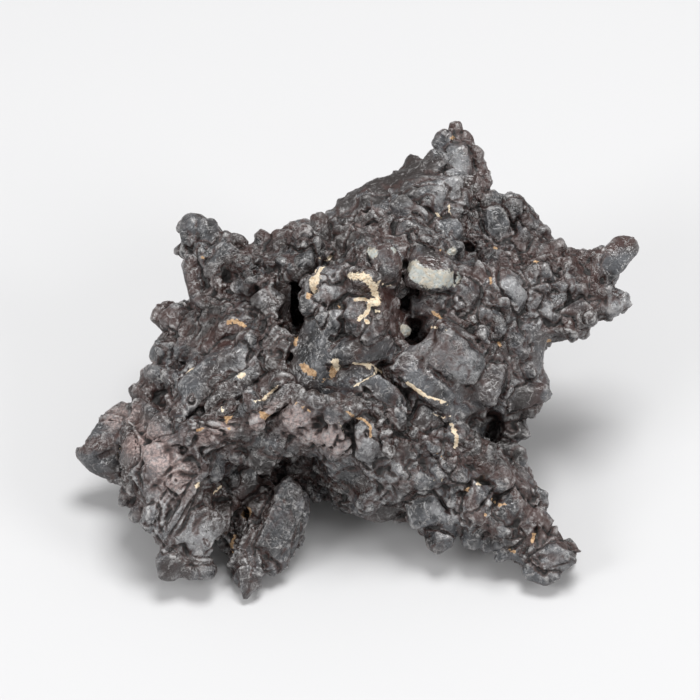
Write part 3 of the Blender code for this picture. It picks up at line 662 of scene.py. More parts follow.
def along_grain(millimetres, seen, front):
    """Points drawn together along the way that long crystals run, so that what is grown on them is long."""
    drawn = millimetres.copy()
    for middle, sizes, turn in GRAINS.values():
        way = turn_from_face([[math.cos(math.radians(turn)), math.sin(math.radians(turn)), 0]])[0]
        share = front * smooth_step(1.2, 0.8, ellipse_reach(seen, middle, sizes, 0))
        length = millimetres @ way
        drawn -= (share * (1 - 1 / GRAIN_STRETCH) * length)[:, None] * way
    return drawn


def flat_sides(count, rng, corners=6):
    """Directions of the flat sides of crystals: six make a block, a little askew, others cut its corners."""
    block = np.concatenate([np.eye(3), -np.eye(3)])[None] + rng.normal(scale=0.22, size=(count, 6, 3))
    cuts = unit(rng.normal(size=(count, corners, 3))) / rng.uniform(0.9, 1.1, size=(count, corners, 1))
    return np.concatenate([block, cuts], axis=1)


def crystal_shapes(middles, frames, halves, flats, columns, bands):
    """Many closed crystals as one mesh's points and faces.

    Each is a function of two angles, round and from pole to pole: its reach from the middle in a direction is
    1 over the largest product with the directions of its flat sides, so those sides are planes, but no more
    than 1 over the least product. Last it is stretched to its half sizes."""
    count = len(middles)
    round_angle = np.arange(columns) / columns * math.tau
    pole_angle = np.arange(1, bands) / bands * math.pi
    ring = np.stack(
        [
            np.outer(np.sin(pole_angle), np.cos(round_angle)),
            np.outer(np.sin(pole_angle), np.sin(round_angle)),
            np.outer(np.cos(pole_angle), np.ones(columns)),
        ],
        axis=-1,
    ).reshape(-1, 3)
    ways = np.concatenate([ring, [[0, 0, 1], [0, 0, -1]]])
    reach = 1 / np.maximum(np.einsum("cks,gs->cgk", flats, ways).max(axis=2), LEAST_PRODUCT)
    scaled = ways[None] * reach[:, :, None] * halves[:, None]
    points = middles[:, None] + np.einsum("cgi,cij->cgj", scaled, frames)
    column = np.arange(columns)
    after = (column + 1) % columns
    faces = []
    for band in range(bands - 2):
        first = band * columns
        faces.append(np.stack([first + column, first + columns + column, first + columns + after], axis=1))
        faces.append(np.stack([first + column, first + columns + after, first + after], axis=1))
    last = (bands - 2) * columns
    faces.append(np.stack([np.full(columns, len(ring)), column, after], axis=1))
    faces.append(np.stack([np.full(columns, len(ring) + 1), last + after, last + column], axis=1))
    one = np.concatenate(faces)
    every = one[None] + (np.arange(count) * len(ways))[:, None, None]
    return points.reshape(-1, 3), every.reshape(-1, 3)


def largest_piece(mesh):
    """The part of a mesh of quads that hangs together and has the most points, without any loose crumbs."""
    edges = edges_of(mesh)
    piece, before = np.arange(len(mesh.vertices)), None
    while before is None or not np.array_equal(piece, before):
        before = piece.copy()
        np.minimum.at(piece, edges[:, 0], before[edges[:, 1]])
        np.minimum.at(piece, edges[:, 1], before[edges[:, 0]])
        piece = piece[piece]
    kept = piece == np.bincount(piece).argmax()
    corners = rows_of(mesh.loops, "vertex_index", 1, np.int32).reshape(-1, 4)
    number = np.cumsum(kept) - 1
    return new_mesh("skin", points_of(mesh)[kept], number[corners[kept[corners[:, 0]]]])


def spread_over(points, triangles, spacing, rng):
    """Random spots on a skin, evenly by area: their places and the way out of the skin there."""
    a, b, c = points[triangles[:, 0]], points[triangles[:, 1]], points[triangles[:, 2]]
    way = np.cross(b - a, c - a)
    area = np.linalg.norm(way, axis=1) / 2
    count = int(area.sum() / spacing**2)
    picked = rng.choice(len(area), count, p=area / area.sum())
    s, t = np.sqrt(rng.random(count)), rng.random(count)
    spots = a[picked] * (1 - s)[:, None] + b[picked] * (s * (1 - t))[:, None] + c[picked] * (s * t)[:, None]
    return spots, way[picked] / (2 * area[picked])[:, None]


def joined(parts):
    """Several arrays of points and triangles as one."""
    points, faces, first = [], [], 0
    for part_points, part_faces in parts:
        points.append(part_points)
        faces.append(part_faces + first)
        first += len(part_points)
    return np.concatenate(points), np.concatenate(faces)


def stone_body(sizes):
    """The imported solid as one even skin, eased, drawn in to make room for the crust, shifted, and dug out."""
    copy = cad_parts[NODE].data.copy()
    whole = with_modifier(copy, "WELD", merge_threshold=WELD_REACH)
    skin = with_modifier(whole, "REMESH", mode="VOXEL", voxel_size=sizes.body_grain)
    edges = edges_of(skin)
    place_points(skin, eased(points_of(skin), edges, sizes.easing))
    points = points_of(skin) - eased_normals(skin, 4) * sizes.room_for_crust
    seen = as_seen(to_face(points))
    for middle, reach, (across, up) in SHIFTS.values():
        share = smooth_step(1, 0, np.linalg.norm(seen - middle, axis=1) / reach)
        points += share[:, None] * turn_from_face([[across, up, 0]]) * MM
    face = to_face(points)
    dig = dug_depth(as_seen(face)) * in_front(face)
    place_points(skin, points - turn_from_face([[0, 0, 1]]) * (dig * MM)[:, None])
    return skin


def set_plates(body):
    """The larger crystals and plates of the face: middles, frames, half sizes and how smooth they are.

    Each is set where a straight line from the eye meets the skin, or on the skin nearest to it at the rim."""
    tree = BVHTree.FromPolygons(points_of(body).tolist(), triangles_of(body).tolist())
    eye = from_face([[0, 0, EYE_DISTANCE]])[0]
    middles, frames, halves, smoothness = [], [], [], []
    for (across, up), half_sizes, turn, (lean_right, lean_up), stand, smooth in PLATES.values():
        sight = unit(from_face([[across, up, 0]])[0] - eye)
        place = tree.ray_cast(Vector(eye), Vector(sight))[0]
        if place is None:
            place = tree.find_nearest(Vector(eye + sight * (EYE_DISTANCE + RIM_DEPTH) * MM))[0]
        turn, lean_right, lean_up = math.radians(turn), math.radians(lean_right), math.radians(lean_up)
        front = unit(np.array([math.sin(lean_right), math.sin(lean_up), 1.0]))
        along = np.array([math.cos(turn), math.sin(turn), 0])
        along = unit(along - (along @ front) * front)
        axes = turn_from_face([along, np.cross(front, along), front])
        middles.append(np.array(place) - sight * (stand - half_sizes[2] * 0.5) * MM)
        frames.append(axes)
        halves.append(np.array(half_sizes) * MM)
        smoothness.append(smooth)
    return np.array(middles), np.array(frames), np.array(halves), np.array(smoothness)


def stray_plates(body, sizes, rng):
    """Larger crystals at random spots behind the face and underneath, each lying nearly flat in the skin."""
    spots, outward = spread_over(points_of(body), triangles_of(body), sizes.stray_spacing, rng)
    behind = (in_front(to_face(spots)) < 0.1) & (dug_depth(as_seen(to_face(spots))) < 0.5)
    spots, outward = spots[behind], outward[behind]
    front = unit(outward + rng.normal(scale=0.25, size=spots.shape))
    along = unit(np.cross(front, rng.normal(size=spots.shape)))
    frames = np.stack([along, np.cross(front, along), front], axis=1)
    halves = rng.uniform(STRAY_LEAST, STRAY_MOST, size=spots.shape) * MM
    middles = spots - outward * (halves[:, 2:] - rng.uniform(0.3, 1.0, size=(len(spots), 1)) * MM)
    return middles, frames, halves, rng.uniform(0.2, 0.95, size=len(spots))


def near_plates(points, plates):
    """How smooth the plate is that each point lies on, and how near it is to a plate's foot, from 0 to 1.

    A plate's level at a point is the largest product of the point's place in the plate's own frame, in shares
    of its half sizes, with the directions of its flat sides: 1 on the plate's skin and more outside it."""
    smooth, foot = np.zeros(len(points)), np.zeros(len(points))
    for middle, axes, half, smoothness, flats in zip(*plates):
        close = np.flatnonzero(np.linalg.norm(points - middle, axis=1) < half.max() * 1.3 + 1.5 * MM)
        level = (((points[close] - middle) @ axes.T / half) @ flats.T).max(axis=1)
        gap = (level - 1) * half.min() / MM
        smooth[close] = np.maximum(smooth[close], smoothness * smooth_step(0.4, 0.2, gap))
        foot[close] = np.maximum(foot[close], smooth_step(1.0, 0.4, gap) * smooth_step(0.15, 0.4, gap))
    return smooth, foot


def grown_crystals(body, sizes, rng):
    """Small crystals all over the body that lean out along its arms: few on smooth faces and none in deep
    hollows."""
    spots, outward = spread_over(points_of(body), triangles_of(body), sizes.crystal_spacing, rng)
    seen = as_seen(to_face(spots))
    kept = rng.random(len(spots)) > smooth_faces(seen) * in_front(to_face(spots)) * 1.2
    kept &= dug_depth(seen) < 2.0
    spots, outward = spots[kept], outward[kept]
    arm = spots - FACE_MIDDLE
    arm = unit(arm - (arm * outward).sum(axis=1, keepdims=True) * outward)
    lengthwise = unit(outward + arm * sizes.crystal_lean + rng.normal(scale=0.35, size=spots.shape))
    sideways = unit(np.cross(lengthwise, rng.normal(size=spots.shape)))
    frames = np.stack([sideways, np.cross(lengthwise, sideways), lengthwise], axis=1)
    widths = sizes.crystal_width * np.exp(rng.normal(scale=0.32, size=len(spots)))
    shares = rng.uniform([0.8, 0.55, 0.9], [1.0, 1.0, 1.5], size=spots.shape)
    middles = spots - outward * (widths * rng.uniform(0.45, 1.0, size=len(spots)))[:, None]
    halves = widths[:, None] * shares
    flats = flat_sides(len(spots), rng)
    return crystal_shapes(middles, frames, halves, flats, CRYSTAL_COLUMNS, CRYSTAL_BANDS)


def eased_normals(mesh, rounds):
    """The way out of the skin, averaged over the neighbourhood."""
    return unit(eased(normals_of(mesh), edges_of(mesh), rounds))


def carve(skin, plates, sizes):
    """Moves the skin in and out: angular crystals of three sizes, wavy folds and thin ridges, and cracks
    between groups of crystals and round the plates, all fainter on the smooth faces.

    The folds are a sine of soft noise without its sign, which gives rounded bands with sharp creases.
    Returns how smooth, creviced and busy each point is, and the tone of the crystal that it is on. The creviced
    share goes into the painted shade of the hollows."""
    edges = edges_of(skin)
    points = eased(points_of(skin), edges, 1)
    plate_smooth, foot = near_plates(points, plates)
    points += (eased(points, edges, sizes.melting) - points) * (1 - PLATE_FIRMNESS * plate_smooth)[:, None]
    place_points(skin, points)
    normals = eased_normals(skin, 14)
    face = to_face(points)
    seen, front = as_seen(face), in_front(face)
    smooth = np.maximum(plate_smooth, smooth_faces(seen) * front)
    rugged = 1 - smooth
    millimetres = along_grain(points / MM, seen, front)
    bent = np.stack([rough(millimetres, BEND_CELL, seed) for seed in (11, 12, 13)], axis=1)
    _, group_crease, group_tone = grown_crust(millimetres + GROUP_BEND * bent, GROUP_CELL, 1)
    large, large_crease, tone = grown_crust(millimetres + LARGE_BEND * bent, LARGE_CELL, 2)
    middle, middle_crease, middle_tone = grown_crust(millimetres + MIDDLE_BEND * bent, MIDDLE_CELL, 3)
    small = grown_crust(millimetres + SMALL_BEND * bent, SMALL_CELL, 4)[0]
    broken = 0.35 + 0.65 * smooth_step(-0.2, 0.3, rough(millimetres, CRACK_STRETCH, 5))
    crack = smooth_step(0.1, 0.0, group_crease) * broken
    fold = np.abs(np.sin(FOLD_WAVES * rough(millimetres + FOLD_BEND * bent, FOLD_CELL, 31)))
    ridge = 1 - np.abs(rough(millimetres + bent, RIDGE_CELL, 6, 2)) * 3
    busy = smooth_step(-0.2, 0.5, rough(millimetres, BUSY_STRETCH, 7)) * rugged
    rise = LARGE_RISE * (large - large.mean()) * (0.3 + 0.7 * rugged)
    rise += MIDDLE_RISE * (middle - middle.mean()) * rugged * (0.55 + 0.6 * busy)
    rise += SMALL_RISE * (small - small.mean()) * (0.3 + 0.7 * busy) * rugged
    rise += FOLD_RISE * (fold - 0.5) * (0.1 + 0.9 * rugged) + RIDGE_RISE * ridge * (0.15 + 0.85 * rugged)
    rise -= CRACK_DEPTH * crack * (0.1 + 0.9 * rugged**1.5) + FOOT_DEPTH * foot * rugged
    place_points(skin, points + normals * (rise * sizes.relief * MM)[:, None])
    creases = np.maximum(smooth_step(0.06, 0, large_crease), smooth_step(0.05, 0, middle_crease) * 0.6)
    creases = np.maximum(creases, smooth_step(0.16, 0.0, fold) * 0.7)
    crevice_shade = np.maximum.reduce([crack * 0.8, creases * rugged, foot * rugged])
    return smooth, crevice_shade, busy, 0.4 * tone + 0.35 * middle_tone + 0.25 * group_tone


def stands_out(mesh, rounds):
    """How far each point stands out of the mean of the skin round it, in millimetres."""
    points = points_of(mesh)
    return ((points - eased(points, edges_of(mesh), rounds, 0.7)) * normals_of(mesh)).sum(axis=1) / MM


def write_attribute(mesh, name, values):
    """Stores a number from 0 to 1 at each point of a mesh."""
    attribute = mesh.attributes.new(name, "FLOAT", "POINT")
    attribute.data.foreach_set("value", np.clip(values, 0, 1).astype(np.float32))


def write_coats(skin, smooth, crevice_shade, busy, tone):
    """Stores how hollow and coated each point of the skin is, and where highlights, sheen and shade are
    painted, for its material.
    """
    points = points_of(skin)
    millimetres = points / MM
    face = to_face(points)
    seen, front = as_seen(face), in_front(face)
    near, middling, far = stands_out(skin, 4), stands_out(skin, 18), stands_out(skin, 70)
    deep = smooth_step(-0.35, -1.7, far)
    groove = smooth_step(-0.02, -0.2, near) * 0.5 + smooth_step(-0.05, -0.6, middling) * 0.6
    # How hollow each point is: the material tints it rust brown and paints black shade into the deepest
    # creases.
    write_attribute(skin, "hollow", groove + 0.8 * deep + 0.45 * crevice_shade)
    # How raised each point is: the material paints the film's sheen on raised faces.
    write_attribute(skin, "raised", smooth_step(-0.1, 0.45, middling))
    # Painted highlights on the edges that stand out, none in deep hollows.
    write_attribute(skin, "painted_highlight", smooth_step(0.03, 0.2, near) * (1 - deep))
    write_attribute(skin, "tone", tone)
    write_attribute(skin, "smooth", smooth)
    write_attribute(skin, "busy", busy)
    stray_brown = smooth_step(0.0, 0.5, rough(millimetres, BROWN_STRETCH, 21)) * 0.85 * (1 - front * 0.35)
    turned_away = smooth_step(0.6, 0.1, eased_normals(skin, 6) @ turn_from_face([[0, 0, 1]])[0]) * 0.7
    brown = np.maximum.reduce([stray_brown, turned_away, coat_mask(seen, BROWN) * front])
    write_attribute(skin, "brown", brown)
    stray_dust = smooth_step(0.25, 0.6, rough(millimetres, DUST_STRETCH, 22)) * (1 - front) * 0.6
    write_attribute(skin, "dust", np.maximum(stray_dust, coat_mask(seen, DUST) * front))
    # Coat masks from the rows above, in front only: the dark stretches are painted shade, the light faces a
    # painted sheen, the pale faces and the clay real coats.
    for name, coats in {"painted_shade": PAINTED_SHADE, "pale": PALE, "light": PAINTED_SHEEN, "clay": CLAY}.items():
        write_attribute(skin, name, coat_mask(seen, coats) * front)
    flecks = smooth_step(0.42, 0.6, rough(millimetres, FLECK_CELL, 23, 2))
    flecks = flecks * smooth_step(-0.02, -0.16, near) * 0.5
    write_attribute(skin, "tan", np.maximum(flecks, coat_mask(seen, TAN) * front))


class Nodes:
    """Short ways to add the nodes that a material is made of."""

    def __init__(self, material):
        """Opens the material's own nodes and takes the place on the stone that its noises are made from."""
        material.use_nodes = True
        self.tree = material.node_tree
        self.shader = self.tree.nodes["Principled BSDF"]
        self.place = self.tree.nodes.new("ShaderNodeTexCoord").outputs["Object"]

    def join(self, value, socket):
        """Links a node's output to a socket, or sets a colour or a number on it."""
        if isinstance(value, bpy.types.NodeSocket):
            self.tree.links.new(value, socket)
        elif isinstance(value, tuple) or hasattr(value, "hsv"):
            socket.default_value = (*value, 1)
        else:
            socket.default_value = value

    def attribute(self, name):
        """The number that write_attribute stored under this name."""
        node = self.tree.nodes.new("ShaderNodeAttribute")
        node.attribute_name = name
        return node.outputs["Fac"]

    def noise(self, size, detail=4.0, roughness=0.55, distortion=0.0):
        """Noise with features of one size in metres."""
        node = self.tree.nodes.new("ShaderNodeTexNoise")
        node.inputs["Scale"].default_value = 1 / size
        node.inputs["Detail"].default_value = detail
        node.inputs["Roughness"].default_value = roughness
        node.inputs["Distortion"].default_value = distortion
        self.join(self.place, node.inputs["Vector"])
        return node

    def bent_place(self, size, amount):
        """The place on the stone, pushed about by noise of one size."""
        away = self.tree.nodes.new("ShaderNodeVectorMath")
        away.operation = "SUBTRACT"
        self.join(self.noise(size, 2).outputs["Color"], away.inputs[0])
        away.inputs[1].default_value = (0.5, 0.5, 0.5)
        bent = self.tree.nodes.new("ShaderNodeVectorMath")
        bent.operation = "MULTIPLY_ADD"
        self.join(away.outputs[0], bent.inputs[0])
        bent.inputs[1].default_value = (amount, amount, amount)
        self.join(self.place, bent.inputs[2])
        return bent.outputs[0]

    def cells(self, place, size, feature):
        """Cells of one size in metres: the distance from their spot or their edge."""
        node = self.tree.nodes.new("ShaderNodeTexVoronoi")
        node.feature = feature
        node.inputs["Scale"].default_value = 1 / size
        self.join(place, node.inputs["Vector"])
        return node.outputs["Distance"]

    def between(self, value, low, high, low_result=0.0, high_result=1.0):
        """A smooth step from the low result to the high result."""
        node = self.tree.nodes.new("ShaderNodeMapRange")
        node.interpolation_type = "SMOOTHSTEP"
        self.join(value, node.inputs["Value"])
        numbers = {"From Min": low, "From Max": high, "To Min": low_result, "To Max": high_result}
        for name, number in numbers.items():
            node.inputs[name].default_value = number
        return node.outputs["Result"]

    def maths(self, operation, first, second):
        """One sum, difference or product of two values."""
        node = self.tree.nodes.new("ShaderNodeMath")
        node.operation = operation
        self.join(first, node.inputs[0])
        self.join(second, node.inputs[1])
        return node.outputs["Value"]

    def times(self, first, second):
        """The product of two values."""
        return self.maths("MULTIPLY", first, second)

    def mixed(self, share, first, second):
        """The first colour, with a share of the second."""
        node = self.tree.nodes.new("ShaderNodeMix")
        node.data_type = "RGBA"
        self.join(share, node.inputs["Factor"])
        self.join(first, node.inputs[6])
        self.join(second, node.inputs[7])
        return node.outputs[2]

    def bump(self, height, depth, strength, under=None):
        """The shading normal of a fine relief that lies on another one."""
        node = self.tree.nodes.new("ShaderNodeBump")
        node.inputs["Distance"].default_value = depth
        self.join(strength, node.inputs["Strength"])
        self.join(height, node.inputs["Height"])
        if under is not None:
            self.join(under, node.inputs["Normal"])
        return node.outputs["Normal"]


def stone_material(colours):
    """Satin ore whose faces differ in tone, with coats of rust, dust and clay that break up at the edges,
    painted highlights on edges and grain, a painted sheen on raised and light faces, and painted shade in
    creases and on dark stretches.
    """
    material = bpy.data.materials.new("satin_iron_ore")
    n = Nodes(material)
    grain = n.noise(0.5 * MM, 6, 0.7).outputs["Fac"]
    patches = n.noise(2.8 * MM, 5, 0.62, 0.8).outputs["Fac"]
    ragged = n.noise(1.2 * MM, 6, 0.7, 0.5).outputs["Fac"]
    cloud = n.noise(1.9 * MM, 6, 0.64, 1.8).outputs["Fac"]
    wide = n.noise(9.0 * MM, 3, 0.5).outputs["Fac"]
    ripple = n.noise(1.2 * MM, 3, 0.55, 1.4).outputs["Fac"]
    seam = n.cells(n.bent_place(1.5 * MM, 1.4 * MM), 1.3 * MM, "DISTANCE_TO_EDGE")
    vein = n.cells(n.bent_place(2.4 * MM, 3.4 * MM), 2.8 * MM, "DISTANCE_TO_EDGE")
    smooth, hollow, busy, raised = (n.attribute(name) for name in ("smooth", "hollow", "busy", "raised"))
    rugged = n.maths("SUBTRACT", 1.0, smooth)

    def coat(name, raggedness, low, high):
        """Where a coat lies: its stored mask, broken up by noise at its edges."""
        shift = n.times(n.maths("SUBTRACT", ragged, 0.5), raggedness)
        return n.between(n.maths("ADD", n.attribute(name), shift), low, high)

    tone = n.maths("ADD", n.times(n.attribute("tone"), 0.9), n.times(patches, 0.9))
    colour = n.mixed(n.between(tone, 0.5, 1.2), colours.dark, colours.blue_grey)
    colour = n.mixed(n.between(wide, 0.44, 0.58, 0.0, 0.7), colour, colours.warm)
    # Painted sheen: a cloudy light film, lighter on raised faces.
    film_and_sheen = n.times(n.between(cloud, 0.5, 0.66), n.between(raised, 0.1, 0.7, 0.1, 0.6))
    colour = n.mixed(film_and_sheen, colour, colours.film_and_sheen)
    # Painted sheen on the listed light faces, cloudy in itself.
    cloudy_sheen = n.mixed(n.between(cloud, 0.4, 0.6), colours.film_and_sheen, colours.light)
    colour = n.mixed(n.times(coat("light", 1.8, 0.3, 0.9), 0.85), colour, cloudy_sheen)
    brown = coat("brown", 1.4, 0.3, 0.75)
    colour = n.mixed(n.times(brown, 0.85), colour, colours.brown)
    # Painted highlights on the tops of the fine grain, stronger on rugged stretches.
    speck = n.times(n.between(grain, 0.57, 0.72), n.between(rugged, 0, 1, 0.25, 0.4))
    colour = n.mixed(speck, colour, colours.painted_highlight)
    # Painted shade on the listed dark stretches.
    painted_shade = coat("painted_shade", 1.2, 0.3, 0.7)
    colour = n.mixed(n.times(painted_shade, 0.9), colour, colours.painted_shade)
    # Painted shade in the pits of the fine grain.
    pore = n.times(n.between(grain, 0.44, 0.3), n.between(rugged, 0, 1, 0.3, 0.9))
    colour = n.mixed(pore, colour, colours.crevice_shade)
    # Painted highlights along the lips of the bumped veins, and painted black shade in the veins themselves.
    line = n.times(n.between(vein, 0.06, 0.02), n.between(ragged, 0.46, 0.58))
    colour = n.mixed(n.times(line, 0.6), colour, colours.painted_highlight)
    colour = n.mixed(n.between(vein, 0.02, 0.008, 0.0, 0.7), colour, colours.crevice_shade)
    # Painted shade in the bumped seams of busy stretches.
    split = n.times(n.between(seam, 0.08, 0.0), n.between(busy, 0, 1, 0.2, 0.9))
    colour = n.mixed(split, colour, colours.crevice_shade)
    dust = coat("dust", 0.8, 0.15, 0.9)
    dusted = n.times(dust, n.between(grain, 0.38, 0.64, 0.15, 0.85))
    colour = n.mixed(dusted, colour, colours.dust)
    # Painted highlights on the edges that stand out, broken up by noise.
    painted_highlight = n.times(n.attribute("painted_highlight"), n.between(ragged, 0.4, 0.6))
    colour = n.mixed(n.times(painted_highlight, 0.85), colour, colours.painted_highlight)
    # In hollows a rust-brown tint, and deeper in painted black shade.
    colour = n.mixed(n.between(hollow, 0.05, 0.45, 0.0, 0.9), colour, colours.brown)
    colour = n.mixed(n.between(hollow, 0.25, 0.75), colour, colours.crevice_shade)
    pale = coat("pale", 1.1, 0.44, 0.56)
    marbled = n.mixed(n.between(cloud, 0.42, 0.6), colours.pale_deep, colours.pale)
    colour = n.mixed(n.times(pale, n.between(grain, 0.34, 0.44, 0.3, 1.0)), colour, marbled)
    tan = coat("tan", 1.4, 0.5, 0.62)
    colour = n.mixed(tan, colour, n.mixed(n.between(grain, 0.4, 0.6), colours.tan_dark, colours.tan))
    clay = coat("clay", 1.3, 0.5, 0.6)
    colour = n.mixed(clay, colour, n.mixed(n.between(grain, 0.36, 0.5), colours.tan, colours.clay))
    n.join(colour, n.shader.inputs["Base Color"])

    roughness = n.between(patches, 0.3, 0.7, 0.09, 0.28)
    coats = ((0.3, dust), (0.08, brown), (0.2, painted_shade), (0.06, film_and_sheen), (0.45, clay), (0.45, tan), (0.4, hollow))
    for amount, by in coats:
        roughness = n.maths("ADD", roughness, n.times(by, amount))
    n.join(roughness, n.shader.inputs["Roughness"])
    n.shader.inputs["IOR"].default_value = 1.57
    n.shader.inputs["Metallic"].default_value = 0.0

    fine = n.between(busy, 0, 1, 0.25, 0.8)
    normal = n.bump(grain, 0.07 * MM, fine)
    normal = n.bump(n.between(seam, 0.0, 0.3), 0.25 * MM, fine, normal)
    normal = n.bump(n.between(vein, 0.0, 0.12), 0.15 * MM, fine, normal)
    normal = n.bump(ripple, 0.36 * MM, n.between(rugged, 0, 1, 0.12, 0.7), normal)
    normal = n.bump(patches, 0.5 * MM, 0.6, normal)
    n.join(normal, n.shader.inputs["Normal"])
    return material


def length_property(name, description, default):
    """A length in metres that the panel shows with its unit."""
    return FloatProperty(name=name, description=description, default=default, unit="LENGTH")


def colour_property(name, description, default):
    """A colour that the panel shows as a swatch."""
    return FloatVectorProperty(
        name=name, description=description, default=default, subtype="COLOR", size=3, min=0, max=1
    )


def number_property(name, description, default):
    """A plain number."""
    return FloatProperty(name=name, description=description, default=default)


def count_property(name, description, default):
    """A whole number."""
    return IntProperty(name=name, description=description, default=default)


class StoneSizes(PropertyGroup):
    """Sizes, counts and the seed that the stone is grown from."""

    body_grain: length_property("Body grain", "Size of the cells that the body is made even with", 0.7 * MM)
    easing: count_property("Easing", "Rounds of smoothing of the body", 5)
    room_for_crust: length_property("Room for crust", "How far the body is drawn in under it", 0.75 * MM)
    stray_spacing: length_property("Stray spacing", "Mean distance of larger crystals behind", 8.0 * MM)
    crystal_spacing: length_property("Crystal spacing", "Mean distance between small crystals", 3.0 * MM)
    crystal_width: length_property("Crystal width", "Half width of a usual small crystal", 1.8 * MM)
    crystal_lean: number_property("Crystal lean", "Lean of the crystals along their arm", 0.7)
    melting: count_property("Melting", "Rounds of smoothing of the crystals", 4)
    skin_grain: length_property("Skin grain", "Size of the cells of the finished skin", 0.34 * MM)
    relief: number_property("Relief", "Depth of the crust, 1 for its own size", 1.0)
    most_triangles: count_property("Most triangles", "Triangles of the finished stone", 196000)
    seed: count_property("Seed", "Seed of all random choices", 5)


class StoneColours(PropertyGroup):
    """Colours of the ore and its coats."""

    dark: colour_property("Dark", "Ore between its brighter faces", (0.008, 0.0075, 0.008))
    blue_grey: colour_property("Blue grey", "Satin crystal faces", (0.075, 0.078, 0.085))
    warm: colour_property("Warm", "Faintly rusty ore", (0.032, 0.02, 0.0165))
    # Cloudy film, mostly a painted sheen on raised faces.
    film_and_sheen: colour_property("Film", "Cloudy film on raised faces", (0.2, 0.198, 0.204))
    # Painted sheen of the listed light faces.
    light: colour_property("Light", "The lightest smooth faces", (0.27, 0.275, 0.28))
    brown: colour_property("Brown", "Rusty stretches", (0.048, 0.021, 0.017))
    # Painted shade on the listed dark stretches.
    painted_shade: colour_property("Soot", "Matte dark stretches", (0.012, 0.008, 0.007))
    # Painted shade in creases, cracks and pits.
    crevice_shade: colour_property("Crevice", "The deepest creases", (0.006, 0.004, 0.0035))
    dust: colour_property("Dust", "Pinkish brown dusty coat", (0.45, 0.335, 0.31))
    # Painted highlights on edges and grain.
    painted_highlight: colour_property("Worn", "Light edges", (0.4, 0.39, 0.385))
    pale: colour_property("Pale", "Pale grey-green faces", (0.34, 0.365, 0.35))
    pale_deep: colour_property("Pale, deeper", "Creamy stretches of the pale faces", (0.42, 0.38, 0.31))
    clay: colour_property("Clay", "Cream clay in the crevices", (0.74, 0.63, 0.47))
    tan: colour_property("Tan", "Tan clay", (0.56, 0.38, 0.22))
    tan_dark: colour_property("Dark tan", "Clay stained by rust", (0.30, 0.17, 0.08))


class StageSettings(PropertyGroup):
    """Camera and floor."""

    elevation: FloatProperty(
        name="Elevation", description="Angle of the view to the floor", default=ELEVATION, subtype="ANGLE"
    )
    distance: length_property("Distance", "Camera to the face's middle", EYE_DISTANCE * MM)
    view_width: length_property("View width", "Width of the view at the face's middle", 126 * MM)
    floor_colour: colour_property("Floor", "Colour of the floor", (0.57, 0.57, 0.575))


class STONE_OT_rock(Operator):
    """Grows, carves and colours the stone"""

    bl_idname = "stone.rock"
    bl_label = "Stone"

    def execute(self, context):
        sizes = context.scene.stone_sizes
        rng = np.random.default_rng(sizes.seed)
        body = stone_body(sizes)
        plates = [np.concatenate(pair) for pair in zip(set_plates(body), stray_plates(body, sizes, rng))]
        plates.append(flat_sides(len(plates[0]), rng))
        middles, frames, halves, _, flats = plates
        blocks = crystal_shapes(middles, frames, halves, flats, PLATE_COLUMNS, PLATE_BANDS)
        parts = [(points_of(body), triangles_of(body)), blocks, grown_crystals(body, sizes, rng)]
        whole = new_mesh("skin", *joined(parts))
        skin = largest_piece(with_modifier(whole, "REMESH", mode="VOXEL", voxel_size=sizes.skin_grain))
        look = carve(skin, plates, sizes)
        points = points_of(skin)
        points[:, 2] = np.maximum(points[:, 2], 0)
        place_points(skin, points)
        write_coats(skin, *look)
        ratio = min(1, sizes.most_triangles / len(triangles_of(skin)))
        skin = with_modifier(skin, "DECIMATE", ratio=ratio)
        skin.name = "crystal_skin"
        skin.materials.clear()
        skin.materials.append(stone_material(context.scene.stone_colours))
        skin.shade_smooth()
        made = new_object("crystal_skin", skin)
        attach(made, BODY)
        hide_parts(NODE)
        return {"FINISHED"}


def table_material(colour):
    """Matte painted board."""
    material = bpy.data.materials.new("pale_table")
    material.use_nodes = True
    shader = material.node_tree.nodes["Principled BSDF"]
    shader.inputs["Base Color"].default_value = (*colour, 1)
    shader.inputs["Roughness"].default_value = 0.8
    return material


def table():
    """A flat grid at the height that the stone stands on."""
    x, y = np.meshgrid(np.linspace(-3, 3, 9), np.linspace(-2, 4, 9), indexing="ij")
    grid = np.arange(x.size).reshape(x.shape)
    corners = (grid[:-1, :-1], grid[1:, :-1], grid[1:, 1:], grid[:-1, 1:])
    faces = np.stack([corner.ravel() for corner in corners], axis=1)
    points = np.stack([x.ravel(), y.ravel(), 0 * x.ravel()], axis=1)
    return new_object("floor", new_mesh("floor", points, faces))


def lamp(name, place, size, power):
    """A round soft light that looks at the stone, its width in metres and its power in watts."""
    light = bpy.data.lights.new(name, "AREA")
    light.shape = "DISK"
    light.size = size
    light.energy = power
    made = bpy.data.objects.new(name, light)
    made.location = place
    made.rotation_euler = (Vector(place) - LAMP_TARGET).to_track_quat("Z", "Y").to_euler()
    bpy.context.scene.collection.objects.link(made)


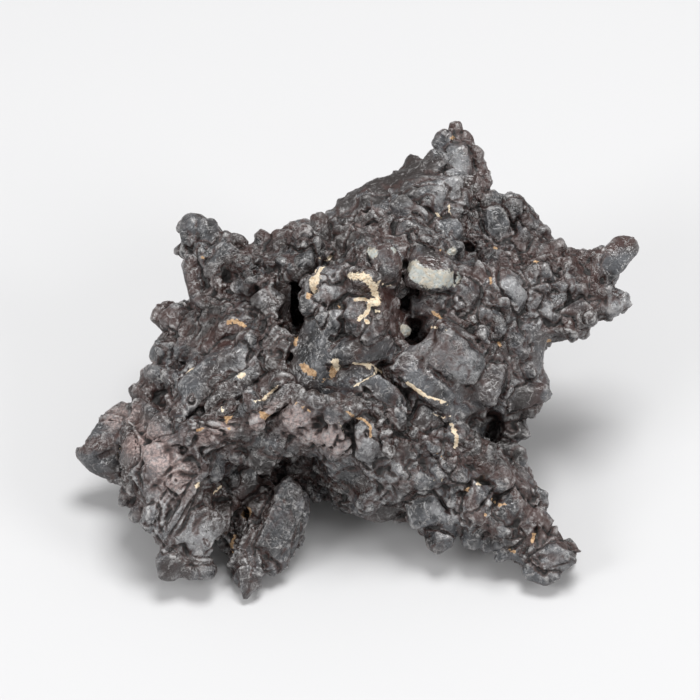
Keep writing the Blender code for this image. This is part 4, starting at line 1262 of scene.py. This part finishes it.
class STONE_OT_stage(Operator):
    """Sets the floor, the lights and the camera"""

    bl_idname = "stone.stage"
    bl_label = "Stage"

    def execute(self, context):
        settings = context.scene.stone_stage
        floor = table()
        floor.data.materials.append(table_material(settings.floor_colour))
        world = bpy.data.worlds.new("studio")
        world.use_nodes = True
        background = world.node_tree.nodes["Background"]
        background.inputs["Color"].default_value = (1, 1, 1, 1)
        background.inputs["Strength"].default_value = WORLD_STRENGTH
        context.scene.world = world
        for name, (place, size, power) in LAMPS.items():
            lamp(name, place, size, power)

        back = Vector((0, -math.cos(settings.elevation), math.sin(settings.elevation)))
        camera = bpy.data.cameras.new("camera")
        camera.sensor_width = 36
        camera.lens = camera.sensor_width * settings.distance / settings.view_width
        camera.clip_start = 0.01
        made = bpy.data.objects.new("camera", camera)
        made.location = Vector(FACE_MIDDLE) + back * settings.distance
        made.rotation_euler = back.to_track_quat("Z", "Y").to_euler()
        context.scene.collection.objects.link(made)
        context.scene.camera = made
        context.scene.view_settings.view_transform = "Standard"
        return {"FINISHED"}


class STONE_PT_panel(Panel):
    """Settings and buttons of the stone"""

    bl_idname = "STONE_PT_panel"
    bl_label = "Prophecy stone"
    bl_space_type = "VIEW_3D"
    bl_region_type = "UI"
    bl_category = "Stone"

    def draw(self, context):
        for settings in (context.scene.stone_sizes, context.scene.stone_colours, context.scene.stone_stage):
            box = self.layout.box()
            for name in settings.__annotations__:
                box.prop(settings, name)
        self.layout.operator(STONE_OT_rock.bl_idname)
        self.layout.operator(STONE_OT_stage.bl_idname)


CLASSES = (StoneSizes, StoneColours, StageSettings, STONE_OT_rock, STONE_OT_stage, STONE_PT_panel)


def register():
    """Adds the settings, operators and panel."""
    for one in CLASSES:
        bpy.utils.register_class(one)
    bpy.types.Scene.stone_sizes = PointerProperty(type=StoneSizes)
    bpy.types.Scene.stone_colours = PointerProperty(type=StoneColours)
    bpy.types.Scene.stone_stage = PointerProperty(type=StageSettings)


def unregister():
    """Takes them away again."""
    del bpy.types.Scene.stone_sizes
    del bpy.types.Scene.stone_colours
    del bpy.types.Scene.stone_stage
    for one in reversed(CLASSES):
        bpy.utils.unregister_class(one)


def main():
    """Makes the stone and its stage."""
    register()
    bpy.ops.stone.rock()
    bpy.ops.stone.stage()


if __name__ == "__main__":
    main()
